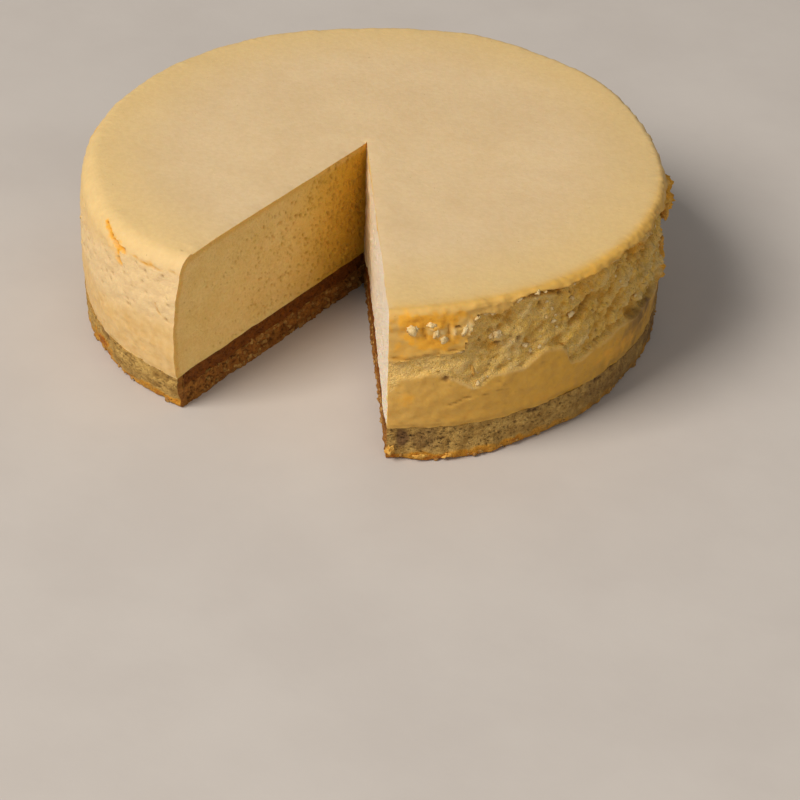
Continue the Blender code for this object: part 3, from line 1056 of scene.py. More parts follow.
@dataclass
class CrumbBase:
    """The crumb floor, with the thin wall of crumbs that stands round the brown layer.

    Attributes:
        form: The cake's form.
        height: Top of the wall.
        floor: Top of the floor inside the wall.
        wall: Radius at which the wall starts.
        body: Radius of the outside, as a share of the cake's, round the cake.
        foot: Radius of its lower edge, as a share of the cake's, round the cake.
        greasy: How golden the lower edge is, from 0 to 1, round the cake.
        holes: Single pits: degrees round, height, radius and depth in millimetres.
        stains_and_shade: Dark patches, from real staining and from painted shade in the two wide patches low
            on the far right.
        crusts: Orange crusted patches.
        columns: Steps round the outside.
        rows: Steps down the outside.
        cut_columns: Steps along a cut inside the wall, and across the wall.
    """

    form: CakeForm
    height: float = 0.01345
    floor: float = 0.00795
    wall: float = 0.0962
    body: Course = Course(
        (
            (20.0, 0.986), (26.0, 0.996), (45.0, 1.0), (85.0, 0.999), (98.0, 1.004), (107.0, 1.018),
            (115.0, 1.014), (130.0, 1.0), (190.0, 1.002), (260.0, 1.0), (306.0, 1.004), (338.0, 0.992),
        )
    )
    foot: Course = Course(
        (
            (20.0, 0.962), (26.0, 0.985), (32.0, 0.998), (40.0, 0.999), (48.0, 0.986), (54.0, 0.983),
            (60.0, 0.989), (68.0, 0.984), (76.0, 0.978), (84.0, 0.988), (92.0, 0.993), (100.0, 1.004),
            (107.0, 1.015), (122.0, 0.992), (160.0, 0.985), (215.0, 0.992), (262.0, 0.999), (280.0, 1.001),
            (303.0, 0.990), (308.0, 0.977), (338.0, 0.970),
        )
    )
    greasy: Course = Course(
        (
            (19.0, 0.9), (30.0, 1.0), (44.0, 0.9), (50.0, 0.45), (64.0, 0.5), (80.0, 0.4), (105.0, 0.75),
            (150.0, 0.4), (200.0, 0.6), (250.0, 0.35), (290.0, 0.6), (312.0, 0.9), (338.0, 0.7),
        )
    )
    holes: tuple[tuple[float, float, float, float], ...] = (
        (23.9, 10.6, 0.6, 1.1), (31.2, 7.2, 0.75, 1.2), (30.0, 11.6, 0.5, 0.9), (31.4, 11.0, 0.5, 0.8),
        (38.3, 5.9, 0.4, 0.7), (42.0, 12.8, 0.8, 1.0), (47.6, 12.3, 0.9, 1.3), (48.9, 12.0, 0.8, 1.2),
        (51.5, 12.6, 0.6, 0.9), (55.0, 10.6, 0.7, 1.0), (60.0, 12.9, 0.7, 0.9), (64.8, 12.4, 1.2, 1.4),
        (66.2, 11.8, 0.9, 1.2), (70.0, 13.1, 0.9, 1.1), (88.0, 12.4, 0.9, 1.0), (306.0, 12.8, 0.9, 1.2),
        (313.0, 12.0, 0.7, 1.0), (316.4, 12.9, 0.9, 1.0),
    )
    # The wide patches at 74 and 94 degrees paint shade on the far right of the base, which faces away from
    # the key light; the others are real staining.
    stains_and_shade: tuple[Patch, ...] = (
        Patch(22.0, 9.4, 3.2, 5.0, 0.9), Patch(26.5, 9.4, 6.0, 5.0, 0.5),
        Patch(74.0, 6.0, 26.0, 12.0, 0.45), Patch(94.0, 6.0, 20.0, 12.0, 0.70),
        Patch(48.3, 12.6, 2.8, 1.2, 0.6), Patch(65.5, 12.2, 3.0, 1.4, 0.7),
        Patch(150.0, 9.0, 5.0, 2.5, 0.5), Patch(233.0, 7.0, 4.0, 3.0, 0.5),
        Patch(311.5, 13.0, 5.0, 2.0, 0.5),
    )
    crusts: tuple[Patch, ...] = (
        Patch(309.5, 6.0, 8.0, 5.5, 1.25), Patch(20.0, 3.6, 2.0, 3.0, 0.7),
        Patch(104.0, 12.0, 6.0, 2.6, 0.6), Patch(182.0, 5.0, 7.0, 3.0, 0.6),
        Patch(256.0, 4.0, 6.0, 2.4, 0.6),
    )
    columns: int = 1200
    rows: int = 34
    cut_columns: tuple[int, int] = (250, 14)

    def surface(self, angle: Array, height: Array) -> dict[str, Array]:
        """Relief and masks of the outside at each place.

        Args:
            angle: Degrees round the cake.
            height: Heights over the plate.

        Returns:
            Radius under "radius", and the masks "toast", "dark" and "pit".
        """
        radius = self.form.radius
        arc = np.radians(angle) * radius
        flat = np.stack([arc, height, np.zeros(arc.shape)], axis=-1)
        lean = 1.0 - ease_between(0.0, 0.0095, height)
        share = self.body.at(angle) * (1.0 - lean) + self.foot.at(angle) * lean
        turned_in = np.clip(1.0 - height / 0.0016, 0.0, 1.0)
        crumble = 0.42 - grain_distance(flat, 0.0026, 81)
        relief = 0.00030 * layered_noise(flat, 0.0045, 82, 4) + 0.00045 * crumble
        rng = np.random.default_rng(83)
        count = 3200
        centres = np.column_stack(
            [rng.uniform(0.33, 5.93, count) * radius, (0.0035 + 0.0095 * rng.beta(1.6, 1.3, count))]
        )
        sizes = (0.22 + 0.42 * rng.random(count) ** 2.0) * MM
        dug = dig_pits(arc, height, centres, sizes, sizes * rng.uniform(0.8, 1.5, count), 0.85)
        dug = np.maximum(dug, dig_holes(arc, height, self.holes, radius, 0.75))
        wobble = 0.35 * layered_noise(flat, 0.0026, 84, 3)
        edge = 0.0034 + 0.0012 * layered_noise(flat * np.array([1.0, 0.0, 0.0]), 0.0055, 85, 4)
        toast = self.greasy.at(angle) * (1.0 - ease_between(-0.0010, 0.0008, height - edge))
        relief += 0.00035 * toast * (0.6 + layered_noise(flat, 0.0035, 86, 2))
        toast = np.maximum(toast, strongest(self.crusts, angle, height, radius, wobble))
        dark = strongest(self.stains_and_shade, angle, height, radius, wobble)
        relief -= 0.0004 * dark
        shape = share * radius + self.form.outline_shift(angle) + relief - dug
        shape -= 0.0016 * (1.0 - np.sqrt(1.0 - turned_in**2))
        return {"radius": shape, "toast": toast, "dark": dark, "pit": share_of(dug, 0.0008)}

    def cut_face(self, edge: Array, heading: float, seed: int) -> tuple[Array, dict[str, Array]]:
        """One cut face as a grid between the tip and the outside, stepped at the wall.

        Args:
            edge: The outside's points at this cut, shape (rows, 3).
            heading: Heading of the cut.
            seed: Picks one of many patterns.

        Returns:
            The points and the face's masks.
        """
        reach = self.form.edge_reach(edge)
        corner = self.form.angle_at(edge[-1, 0], edge[-1, 1])
        wall = self.wall + self.form.outline_shift(corner)
        inner = self.form.reach(np.array(heading), np.array(self.floor), wall)
        inner = np.minimum(inner, reach - 0.0025)
        first = inner * even_steps(self.cut_columns[0])[None, :]
        second = even_steps(self.cut_columns[1])[None, :]
        outer = inner + 0.0001 + (reach - inner - 0.0001) * second
        along = np.concatenate([first, outer], axis=1)
        share = (edge[:, 2] / edge[0, 2])[:, None]
        spots = self.form.from_tip(np.full(along.shape, heading), edge[:, 2][:, None] + 0.0 * along, along)
        floor = self.floor + self.form.floor_rise(spots[0])
        brim = self.height + self.form.seam_rise(spots[0])
        top = np.where(np.arange(along.shape[1]) <= self.cut_columns[0], floor, brim)
        height = share * top[None, :]
        flat = np.stack([along, height, np.full(along.shape, 0.01 * seed)], axis=-1)
        crumble = grain_distance(flat, 0.0021, seed) - 0.45
        depth = 0.0008 * crumble + 0.0005 * layered_noise(flat, 0.0038, seed + 1, 4)
        rng = np.random.default_rng(seed)
        centres = np.column_stack([rng.uniform(0.0, 0.1, 420), rng.uniform(0.0, self.floor, 420)])
        sizes = rng.uniform(0.3, 0.75, 420) * MM
        dug = dig_pits(along, height, centres, sizes, sizes * 1.1, 0.9)
        hold = ease_between(0.0, 0.0010, np.minimum(along, reach - along))
        points = self.form.cut_points(heading, along, height, (depth + dug) * hold)
        masks = {"toast": 0.0 * dug, "dark": 0.0 * dug, "pit": share_of(dug, 0.0008) * hold}
        return points, masks

    def top_at(self, flat: Array) -> Array:
        """Height of its upper side at each place, shape (points, 2)."""
        points = np.column_stack([flat, np.zeros(len(flat))])
        shift = self.form.outline_shift(self.form.angle_at(flat[:, 0], flat[:, 1]))
        inside = np.hypot(flat[:, 0], flat[:, 1]) < self.wall + shift + 0.00001
        floor = self.floor + self.form.floor_rise(points)
        return np.where(inside, floor, self.height + self.form.seam_rise(points))

    def build(self) -> bpy.types.Object:
        """Makes the base's closed mesh.

        Returns:
            The mesh object, whose faces take material number 0 on the outside and 1 on the cuts.
        """
        form = self.form
        heading = form.headings(self.columns)
        first = form.on_circle(heading, self.height, form.radius)
        angle = form.angle_at(first[..., 0], first[..., 1])
        share = 1.0 - even_steps(self.rows)[:, None]
        height = share * (self.height + form.seam_rise(first))
        marks = self.surface(angle + 0.0 * height, height)
        heading = heading + 0.0 * height
        side = form.from_tip(heading, height, form.reach(heading, height, marks["radius"]))
        right, right_masks = self.cut_face(side[:, 0], form.right_cut, 91)
        left, left_masks = self.cut_face(side[:, -1], form.left_cut, 95)
        names = ("toast", "dark", "pit")
        masks = {name: (marks[name], right_masks[name], left_masks[name], 0.0) for name in names}
        rings = (self.wall, self.wall + 0.0001)
        grid = LayerGrid(form, side, right, left, masks, (0.0040, 0.0), rings)
        return grid.build("crumb_base_visual", self.top_at)


@dataclass
class BrownLayer:
    """The brown layer that lies on the crumb floor inside the wall.

    Attributes:
        form: The cake's form.
        top: Height of its upper side.
        bottom: Height of its underside.
        outer: Its radius.
        columns: Steps round the outside.
        rows: Steps down.
        cut_columns: Steps along a cut.
    """

    form: CakeForm
    top: float = 0.01345
    bottom: float = 0.0080
    outer: float = 0.0959
    columns: int = 160
    rows: int = 16
    cut_columns: int = 260

    def cut_face(self, edge: Array, heading: float, seed: int) -> tuple[Array, dict[str, Array]]:
        """One cut face as a grid between the tip and the outside.

        Args:
            edge: The outside's points at this cut, shape (rows, 3).
            heading: Heading of the cut.
            seed: Picks one of many patterns.

        Returns:
            The points and the face's masks.
        """
        reach = self.form.edge_reach(edge)
        along = reach * even_steps(self.cut_columns)[None, :]
        spots = self.form.from_tip(np.full(along.shape, heading), edge[:, 2][:, None] + 0.0 * along, along)
        top = self.top + self.form.seam_rise(spots[0])
        bottom = self.bottom + self.form.floor_rise(spots[0])
        share = even_steps(self.rows)[:, None]
        height = top * (1.0 - share) + bottom * share
        flat = np.stack([along, height, np.full(along.shape, 0.01 * seed)], axis=-1)
        crumble = grain_distance(flat, 0.0016, seed) - 0.45
        depth = 0.00045 * crumble + 0.00040 * layered_noise(flat, 0.0030, seed + 1, 4)
        hold = ease_between(0.0, 0.0010, np.minimum(along, reach - along))
        rng = np.random.default_rng(seed)
        centres = np.column_stack([rng.uniform(0.0, 0.1, 260), rng.uniform(self.bottom, self.top, 260)])
        sizes = rng.uniform(0.3, 0.6, 260) * MM
        dug = dig_pits(along, height, centres, sizes, sizes, 0.9)
        points = self.form.cut_points(heading, along, height, (depth + dug) * hold)
        return points, {"pit": share_of(dug, 0.0006) * hold}

    def build(self) -> bpy.types.Object:
        """Makes the layer's closed mesh."""
        form = self.form
        heading = form.headings(self.columns)
        first = form.on_circle(heading, self.top, self.outer)
        share = even_steps(self.rows)[:, None]
        top = self.top + form.seam_rise(first)
        bottom = self.bottom + form.floor_rise(first)
        height = top * (1.0 - share) + bottom * share
        heading = heading + 0.0 * height
        outer = self.outer + form.outline_shift(form.angle_at(first[..., 0], first[..., 1]))
        side = form.from_tip(heading, height, form.reach(heading, height, outer + 0.0 * height))
        right, right_masks = self.cut_face(side[:, 0], form.right_cut, 101)
        left, left_masks = self.cut_face(side[:, -1], form.left_cut, 105)
        masks = {"pit": (np.zeros(height.shape), right_masks["pit"], left_masks["pit"], 0.0)}
        grid = LayerGrid(form, side, right, left, masks, (0.0080, 0.0))
        return grid.build("brown_layer_visual", self.top_at)

    def top_at(self, flat: Array) -> Array:
        """Height of its upper side at each place, shape (points, 2)."""
        return self.top + self.form.seam_rise(np.column_stack([flat, np.zeros(len(flat))]))


# --------------------------------------------------------------------------- crumbs and curds


@dataclass(frozen=True)
class Bit:
    """A small lump stuck to the cake.

    Attributes:
        spot: Its middle in the shared frame.
        out: Direction out of the cake.
        along: Direction along the surface.
        size_mm: Half its length along, up and out.
        turn: How far it is turned on the surface, in degrees.
    """

    spot: Vector
    out: Vector
    along: Vector
    size_mm: tuple[float, float, float]
    turn: float = 0.0


@dataclass
class Bits:
    """Many small lumps of one kind in one mesh.

    Attributes:
        name: Name of the piece.
        bits: The lumps.
        roundness: Number of times the starting ball is divided.
        roughness: How far a lump leaves an even oval.
    """

    name: str
    bits: list[Bit]
    roundness: int = 3
    roughness: float = 0.85

    def ball(self) -> tuple[Array, Array]:
        """Points and triangles of a ball of radius 1."""
        shape = bmesh.new()
        bmesh.ops.create_icosphere(shape, subdivisions=self.roundness, radius=1.0)
        points = np.array([vertex.co[:] for vertex in shape.verts])
        faces = np.array([[vertex.index for vertex in face.verts] for face in shape.faces])
        shape.free()
        return points, faces

    def build(self) -> bpy.types.Object:
        """Makes the lumps as one mesh object, linked to the scene."""
        ball, triangles = self.ball()
        points, faces = [], []
        for number, bit in enumerate(self.bits):
            shifted = ball + np.array([3.7, 1.9, 5.3]) * number
            rough = 1.0 + self.roughness * layered_noise(shifted, 1.1, 131, 4, 0.75)
            turn = Matrix.Rotation(math.radians(bit.turn), 3, bit.out)
            along = turn @ bit.along
            up = bit.out.cross(along)
            axes = np.array([along[:], up[:], bit.out[:]]) * (np.array(bit.size_mm) * MM)[:, None]
            placed = np.array(bit.spot[:]) + (ball * rough[:, None]) @ axes
            placed[:, 2] = np.maximum(placed[:, 2], 0.0)
            points.append(placed)
            faces.append(triangles + number * len(ball))
        mesh = bpy.data.meshes.new(self.name)
        mesh.from_pydata(np.concatenate(points), [], np.concatenate(faces).tolist())
        mesh.shade_smooth()
        return linked(self.name, mesh)


@dataclass
class Scatter:
    """Places the lumps: pale curds on the torn band, crumbs along the cuts and the foot.

    Attributes:
        form: The cake's form.
        filling: The built filling.
        base: The base.
        curds: Degrees round, height, half sizes along, up and out, and turn; lengths in millimetres.
        flakes: The same for orange flakes and flaps of skin.
        seed: Picks one of many patterns.
    """

    form: CakeForm
    filling: CheeseFilling
    base: CrumbBase
    curds: tuple[tuple[float, ...], ...] = (
        (23.7, 52.0, 1.5, 1.5, 0.6, 20.0), (27.0, 53.2, 1.7, 0.8, 0.8, -15.0),
        (28.2, 51.2, 1.0, 1.7, 0.8, 10.0), (29.0, 48.6, 1.1, 1.3, 0.6, 0.0),
        (33.2, 50.9, 0.8, 1.9, 0.6, -20.0), (35.2, 53.8, 1.0, 0.8, 0.9, 30.0),
        (37.5, 54.2, 0.8, 0.6, 0.7, 0.0), (39.9, 46.0, 1.7, 1.1, 0.9, 10.0),
        (38.4, 45.0, 0.8, 0.7, 0.6, 0.0), (44.0, 58.2, 1.2, 0.9, 0.9, 45.0),
        (47.6, 58.4, 0.9, 0.7, 0.8, 0.0), (49.6, 57.4, 0.8, 0.6, 0.8, 0.0),
        (55.0, 55.9, 1.0, 0.9, 1.0, 0.0), (56.8, 43.9, 1.2, 0.8, 0.7, 20.0),
        (50.0, 47.4, 0.7, 0.5, 0.6, 0.0), (52.0, 44.3, 1.0, 0.6, 0.6, 0.0),
        (36.1, 29.0, 0.8, 0.9, 0.8, 0.0), (68.4, 56.4, 0.9, 0.7, 0.8, 0.0),
        (75.0, 56.6, 1.0, 0.7, 0.8, 0.0), (46.0, 39.0, 1.5, 0.7, 0.6, -25.0),
        (32.2, 44.0, 1.2, 0.7, 0.5, 0.0),
    )
    flakes: tuple[tuple[float, ...], ...] = (
        (34.9, 34.0, 0.45, 1.6, 0.5, 12.0), (19.9, 4.6, 1.5, 2.0, 1.4, 0.0),
        (31.0, 2.0, 1.4, 0.8, 0.8, 0.0), (26.0, 2.2, 2.2, 0.8, 0.7, 0.0),
        (102.5, 43.5, 3.6, 2.4, 1.5, 20.0), (107.5, 42.6, 3.0, 2.8, 2.2, -15.0),
        (100.0, 33.0, 2.4, 1.4, 1.2, 0.0), (106.0, 13.6, 3.0, 1.6, 1.5, 0.0),
    )
    seed: int = 141

    def on_outside(self, stop: tuple[float, ...]) -> Bit:
        """A lump that sits on the filling or the base, where a stop says."""
        angle, height, along_mm, up_mm, out_mm, turn = stop
        _, out, along = self.form.on_side(angle, height * MM, self.form.radius)
        if height * MM < self.filling.bottom:
            marks = self.base.surface(np.array([[angle]]), np.array([[height * MM]]))
            spot = Vector((*self.form.axis, height * MM)) + out * float(marks["radius"][0, 0])
        else:
            target = Vector((*self.form.axis, height * MM)) + out * self.form.radius
            away = ((self.filling.side - np.array(target)) ** 2).sum(axis=-1)
            spot = Vector(self.filling.side.reshape(-1, 3)[away.argmin()])
        return Bit(spot, out, along, (along_mm, up_mm, out_mm), turn)

    def on_cut(self, heading: float, along: float, height: float, size_mm: tuple[float, float, float]) -> Bit:
        """A lump on a cut face, at a distance from the tip."""
        point = self.form.cut_points(heading, np.array([along]), np.array([height]), np.array([0.0002]))
        turned = -1.0 if heading < 0.0 else 1.0
        out = Vector((-math.sin(heading), math.cos(heading), 0.0)) * turned
        ahead = Vector((math.cos(heading), math.sin(heading), 0.0))
        return Bit(Vector(self.form.placed(point)[0]), out, ahead, size_mm)

    def pale(self) -> list[Bit]:
        """Curds on the torn band."""
        rng = np.random.default_rng(self.seed)
        bits = [self.on_outside(stop) for stop in self.curds]
        for _ in range(70):
            angle = float(rng.uniform(36.0, 112.0) if rng.random() < 0.6 else rng.uniform(120.0, 300.0))
            low, high = self.filling.lower_edge.at(angle), self.filling.upper_edge.at(angle)
            height = float(low + (high - low) * rng.beta(1.3, 1.0))
            size = float(rng.uniform(0.28, 0.62))
            turn = float(rng.uniform(-60, 20))
            bits.append(self.on_outside((angle, height, size * 1.7, size, size * 0.55, turn)))
        return bits

    def golden(self) -> list[Bit]:
        """Orange flakes and flaps."""
        return [self.on_outside(stop) for stop in self.flakes]

    def crumbs(self) -> list[Bit]:
        """Crumbs on the base's cuts and along its foot."""
        rng = np.random.default_rng(self.seed + 1)
        bits = []
        for _ in range(260):
            heading = self.form.left_cut if rng.random() < 0.6 else self.form.right_cut
            size = float(0.35 + 0.65 * rng.random() ** 2)
            high = rng.random() < 0.6
            height = float(rng.uniform(0.0002, 0.0082) if high else rng.uniform(0.0003, 0.0015))
            along = float(rng.uniform(0.002, 0.091))
            bits.append(self.on_cut(heading, along, height, (size, size * 0.85, size * 0.8)))
        for _ in range(110):
            angle = float(rng.uniform(22.0, 331.0))
            size = float(rng.uniform(0.3, 0.8))
            height = float(rng.uniform(0.3, 2.2))
            bits.append(self.on_outside((angle, height, size * 1.5, size, size * 0.8, 0.0)))
        return bits


# --------------------------------------------------------------------------- node drafts and shared effects


Socket = bpy.types.NodeSocket
Value = bpy.types.NodeSocket | float | tuple[float, float, float]
Colour = tuple[float, float, float]


class Draft:
    """Adds nodes to one node tree and links them."""

    def __init__(self, tree: bpy.types.NodeTree) -> None:
        """Starts on a tree."""
        self.tree = tree

    def add(
        self, kind: str, values: dict[str | int, Value] | None = None, **settings: object
    ) -> bpy.types.Node:
        """Adds a node.

        Args:
            kind: The node's kind, without "ShaderNode".
            values: Values or sockets for its inputs, by name or number.
            **settings: Its other settings.

        Returns:
            The node.
        """
        node = self.tree.nodes.new(f"ShaderNode{kind}")
        count = len(self.tree.nodes)
        node.location = (count % 9 * 190.0, count // 9 * -280.0)
        for name, setting in settings.items():
            setattr(node, name, setting)
        for name, value in (values or {}).items():
            self.feed(node.inputs[name], value)
        return node

    def feed(self, socket: Socket, value: Value) -> None:
        """Links a socket to another, or sets its own value."""
        if isinstance(value, bpy.types.NodeSocket):
            self.tree.links.new(value, socket)
        elif socket.type == "RGBA":
            socket.default_value = (*value, 1.0)
        else:
            socket.default_value = value

    def maths(self, operation: str, first: Value, second: Value = 0.0) -> Socket:
        """One step of arithmetic."""
        return self.add("Math", {0: first, 1: second}, operation=operation).outputs[0]

    def spread(self, value: Value, low: Value, high: Value) -> Socket:
        """0 at low, 1 at high, eased between and clamped outside."""
        values = {"Value": value, "From Min": low, "From Max": high}
        return self.add("MapRange", values, interpolation_type="SMOOTHSTEP").outputs[0]

    def ramp(self, value: Value, low: float, high: float) -> Socket:
        """Low where the value is 0, high where it is 1, straight between."""
        return self.add("MapRange", {0: value, 3: low, 4: high}).outputs[0]

    def times(self, first: Value, second: Value) -> Socket:
        """One value times another."""
        return self.maths("MULTIPLY", first, second)

    def plus(self, first: Value, second: Value) -> Socket:
        """One value plus another."""
        return self.maths("ADD", first, second)

    def minus(self, first: Value, second: Value) -> Socket:
        """One value less another."""
        return self.maths("SUBTRACT", first, second)

    def blend(self, mask: Value, first: Value, second: Value) -> Socket:
        """A colour between two, by a mask."""
        node = self.add("Mix", {0: mask, 6: first, 7: second}, data_type="RGBA", blend_type="MIX")
        return node.outputs[2]

    def place(self) -> Socket:
        """The place on the object."""
        return self.add("TexCoord").outputs["Object"]

    def mask(self, name: str) -> Socket:
        """A mask that is stored on the mesh."""
        return self.add("Attribute", attribute_name=name).outputs["Fac"]

    def noise(self, place: Value, scale: Value, detail: float = 3.0, roughness: float = 0.5) -> Socket:
        """Smooth noise, about 0 to 1."""
        values = {"Vector": place, "Scale": scale, "Detail": detail, "Roughness": roughness}
        return self.add("TexNoise", values).outputs[0]

    def effect(self, effect: "Effect", values: dict[str | int, Value]) -> bpy.types.Node:
        """Places one of the shared effects."""
        return self.add("Group", values, node_tree=effect_group(effect))

    def clouds(self, place: Value, size_mm: float, low: float, high: float) -> Socket:
        """Soft uneven areas of one size; low and high set how much of the surface they take."""
        values = {"Place": place, "Size mm": size_mm, "Low": low, "High": high}
        return self.effect(Effect.CLOUDS, values).outputs[0]

    def spots(self, place: Value, spacing_mm: float, share: float, size: float) -> Socket:
        """Scattered spots, in this share of the cells of one spacing."""
        values = {"Place": place, "Spacing mm": spacing_mm, "Share": share, "Size": size}
        return self.effect(Effect.SPOTS, values).outputs[0]

    def crumble(self, place: Value, size_mm: float) -> bpy.types.Node:
        """Crumbly grain of one size, with its height and shade as outputs."""
        return self.effect(Effect.CRUMBLE, {"Place": place, "Size mm": size_mm})

    def ragged(self, place: Value, edge_mm: Value, wander_mm: float, soft_mm: Value) -> Socket:
        """A mask on one side of an edge that wanders finely."""
        values = {"Place": place, "Edge mm": edge_mm, "Wander mm": wander_mm, "Soft mm": soft_mm}
        return self.effect(Effect.RAGGED, values).outputs[0]


class Effect(Enum):
    """Effects that several finishes share."""

    SPOTS = "scattered spots"
    CLOUDS = "cloudy colour"
    CRUMBLE = "crumbly grain"
    RAGGED = "ragged edge"


def effect_sockets(effect: Effect) -> tuple[dict[str, str], tuple[str, ...]]:
    """Names and kinds of an effect's inputs, and names of its outputs."""
    kinds = {
        Effect.SPOTS: (("Spacing mm", "Share", "Size"), ("Mask",)),
        Effect.CLOUDS: (("Size mm", "Low", "High"), ("Mask",)),
        Effect.CRUMBLE: (("Size mm",), ("Height", "Shade")),
        Effect.RAGGED: (("Edge mm", "Wander mm", "Soft mm"), ("Mask",)),
    }
    numbers, outputs = kinds[effect]
    return {"Place": "Vector"} | dict.fromkeys(numbers, "Float"), outputs


def effect_group(effect: Effect) -> bpy.types.NodeTree:
    """Gives an effect's node group, and builds it the first time.

    Args:
        effect: The effect.

    Returns:
        The node group.
    """
    if effect.value in bpy.data.node_groups:
        return bpy.data.node_groups[effect.value]
    tree = bpy.data.node_groups.new(effect.value, "ShaderNodeTree")
    inputs, outputs = effect_sockets(effect)
    for name, kind in inputs.items():
        tree.interface.new_socket(name, in_out="INPUT", socket_type=f"NodeSocket{kind}")
    for name in outputs:
        tree.interface.new_socket(name, in_out="OUTPUT", socket_type="NodeSocketFloat")
    draft = Draft(tree)
    given = tree.nodes.new("NodeGroupInput").outputs
    result = tree.nodes.new("NodeGroupOutput").inputs
    builders = {
        Effect.SPOTS: draft_spots,
        Effect.CLOUDS: draft_clouds,
        Effect.CRUMBLE: draft_crumble,
        Effect.RAGGED: draft_ragged,
    }
    for name, socket in builders[effect](draft, given).items():
        draft.feed(result[name], socket)
    return tree


def per_size(draft: Draft, place: Value, size_mm: Value) -> Socket:
    """A place measured in steps of a size."""
    steps = draft.maths("DIVIDE", 1000.0, size_mm)
    return draft.add("VectorMath", {0: place, "Scale": steps}, operation="SCALE").outputs[0]


def draft_spots(draft: Draft, given: bpy.types.NodeOutputs) -> dict[str, Socket]:
    """Small dark spots of several sizes, some cells left empty."""
    place = per_size(draft, given["Place"], given["Spacing mm"])
    bent = draft.add("VectorMath", {0: place}, operation="ADD")
    wander = draft.add("TexNoise", {"Vector": place, "Scale": 2.3, "Detail": 1.0}).outputs["Color"]
    draft.feed(bent.inputs[1], wander)
    cells = draft.add("TexVoronoi", {"Vector": bent.outputs[0], "Scale": 1.0})
    chance = draft.add("SeparateColor", {0: cells.outputs["Color"]})
    size = draft.times(given["Size"], draft.plus(chance.outputs[1], 0.5))
    fade = draft.spread(cells.outputs["Distance"], draft.times(size, 0.55), size)
    near = draft.minus(1.0, fade)
    used = draft.maths("LESS_THAN", chance.outputs[0], given["Share"])
    return {"Mask": draft.times(near, used)}


def draft_clouds(draft: Draft, given: bpy.types.NodeOutputs) -> dict[str, Socket]:
    """Soft uneven areas."""
    place = per_size(draft, given["Place"], given["Size mm"])
    return {"Mask": draft.spread(draft.noise(place, 1.0, 4.0, 0.55), given["Low"], given["High"])}


def draft_crumble(draft: Draft, given: bpy.types.NodeOutputs) -> dict[str, Socket]:
    """Grains with finer grains between them: their height and a random shade."""
    place = per_size(draft, given["Place"], given["Size mm"])
    coarse = draft.add("TexVoronoi", {"Vector": place, "Scale": 1.0})
    fine = draft.add("TexVoronoi", {"Vector": place, "Scale": 2.7})
    rough = draft.noise(place, 1.9, 5.0, 0.62)
    grains = draft.times(draft.plus(coarse.outputs["Distance"], fine.outputs["Distance"]), 0.5)
    shade = draft.add("SeparateColor", {0: coarse.outputs["Color"]}).outputs[0]
    return {"Height": draft.minus(rough, grains), "Shade": shade}


def draft_ragged(draft: Draft, given: bpy.types.NodeOutputs) -> dict[str, Socket]:
    """Turns a distance from an edge into a mask whose edge wanders finely."""
    place = per_size(draft, given["Place"], 1.6)
    noise = draft.minus(draft.noise(place, 1.0, 5.0, 0.62), 0.5)
    shifted = draft.plus(given["Edge mm"], draft.times(noise, given["Wander mm"]))
    return {"Mask": draft.spread(shifted, draft.times(given["Soft mm"], -1.0), given["Soft mm"])}


# --------------------------------------------------------------------------- finishes


@dataclass(frozen=True)
class Finish:
    """What every finish has.

    Attributes:
        name: Name of the material.
        roughness: Roughness where nothing changes it.
        glow: Share of light that enters and comes out nearby.
        glow_mm: How far it travels, for red, green and blue.
        shine: Strength of the mirror-like share.
    """

    name: str
    roughness: float = 0.55
    glow: float = 0.0
    glow_mm: tuple[float, float, float] = (2.6, 1.2, 0.4)
    shine: float = 0.2

    def start(self) -> tuple[bpy.types.Material, Draft, bpy.types.Node]:
        """Makes the material with its shader.

        Returns:
            The material, a draft on its nodes, and the shader.
        """
        material = bpy.data.materials.new(self.name)
        material.use_nodes = True
        shader = material.node_tree.nodes["Principled BSDF"]
        shader.inputs["Roughness"].default_value = self.roughness
        shader.inputs["Subsurface Weight"].default_value = self.glow
        shader.inputs["Subsurface Radius"].default_value = self.glow_mm
        shader.inputs["Subsurface Scale"].default_value = MM
        shader.inputs["Specular IOR Level"].default_value = self.shine
        return material, Draft(material.node_tree), shader

    def bump(
        self, draft: Draft, shader: bpy.types.Node, height: Value, distance_mm: float, strength: float = 1.0
    ) -> None:
        """Gives the shader a bump from a height of 0 to 1."""
        values = {"Height": height, "Distance": distance_mm * MM, "Strength": strength}
        draft.feed(shader.inputs["Normal"], draft.add("Bump", values).outputs[0])


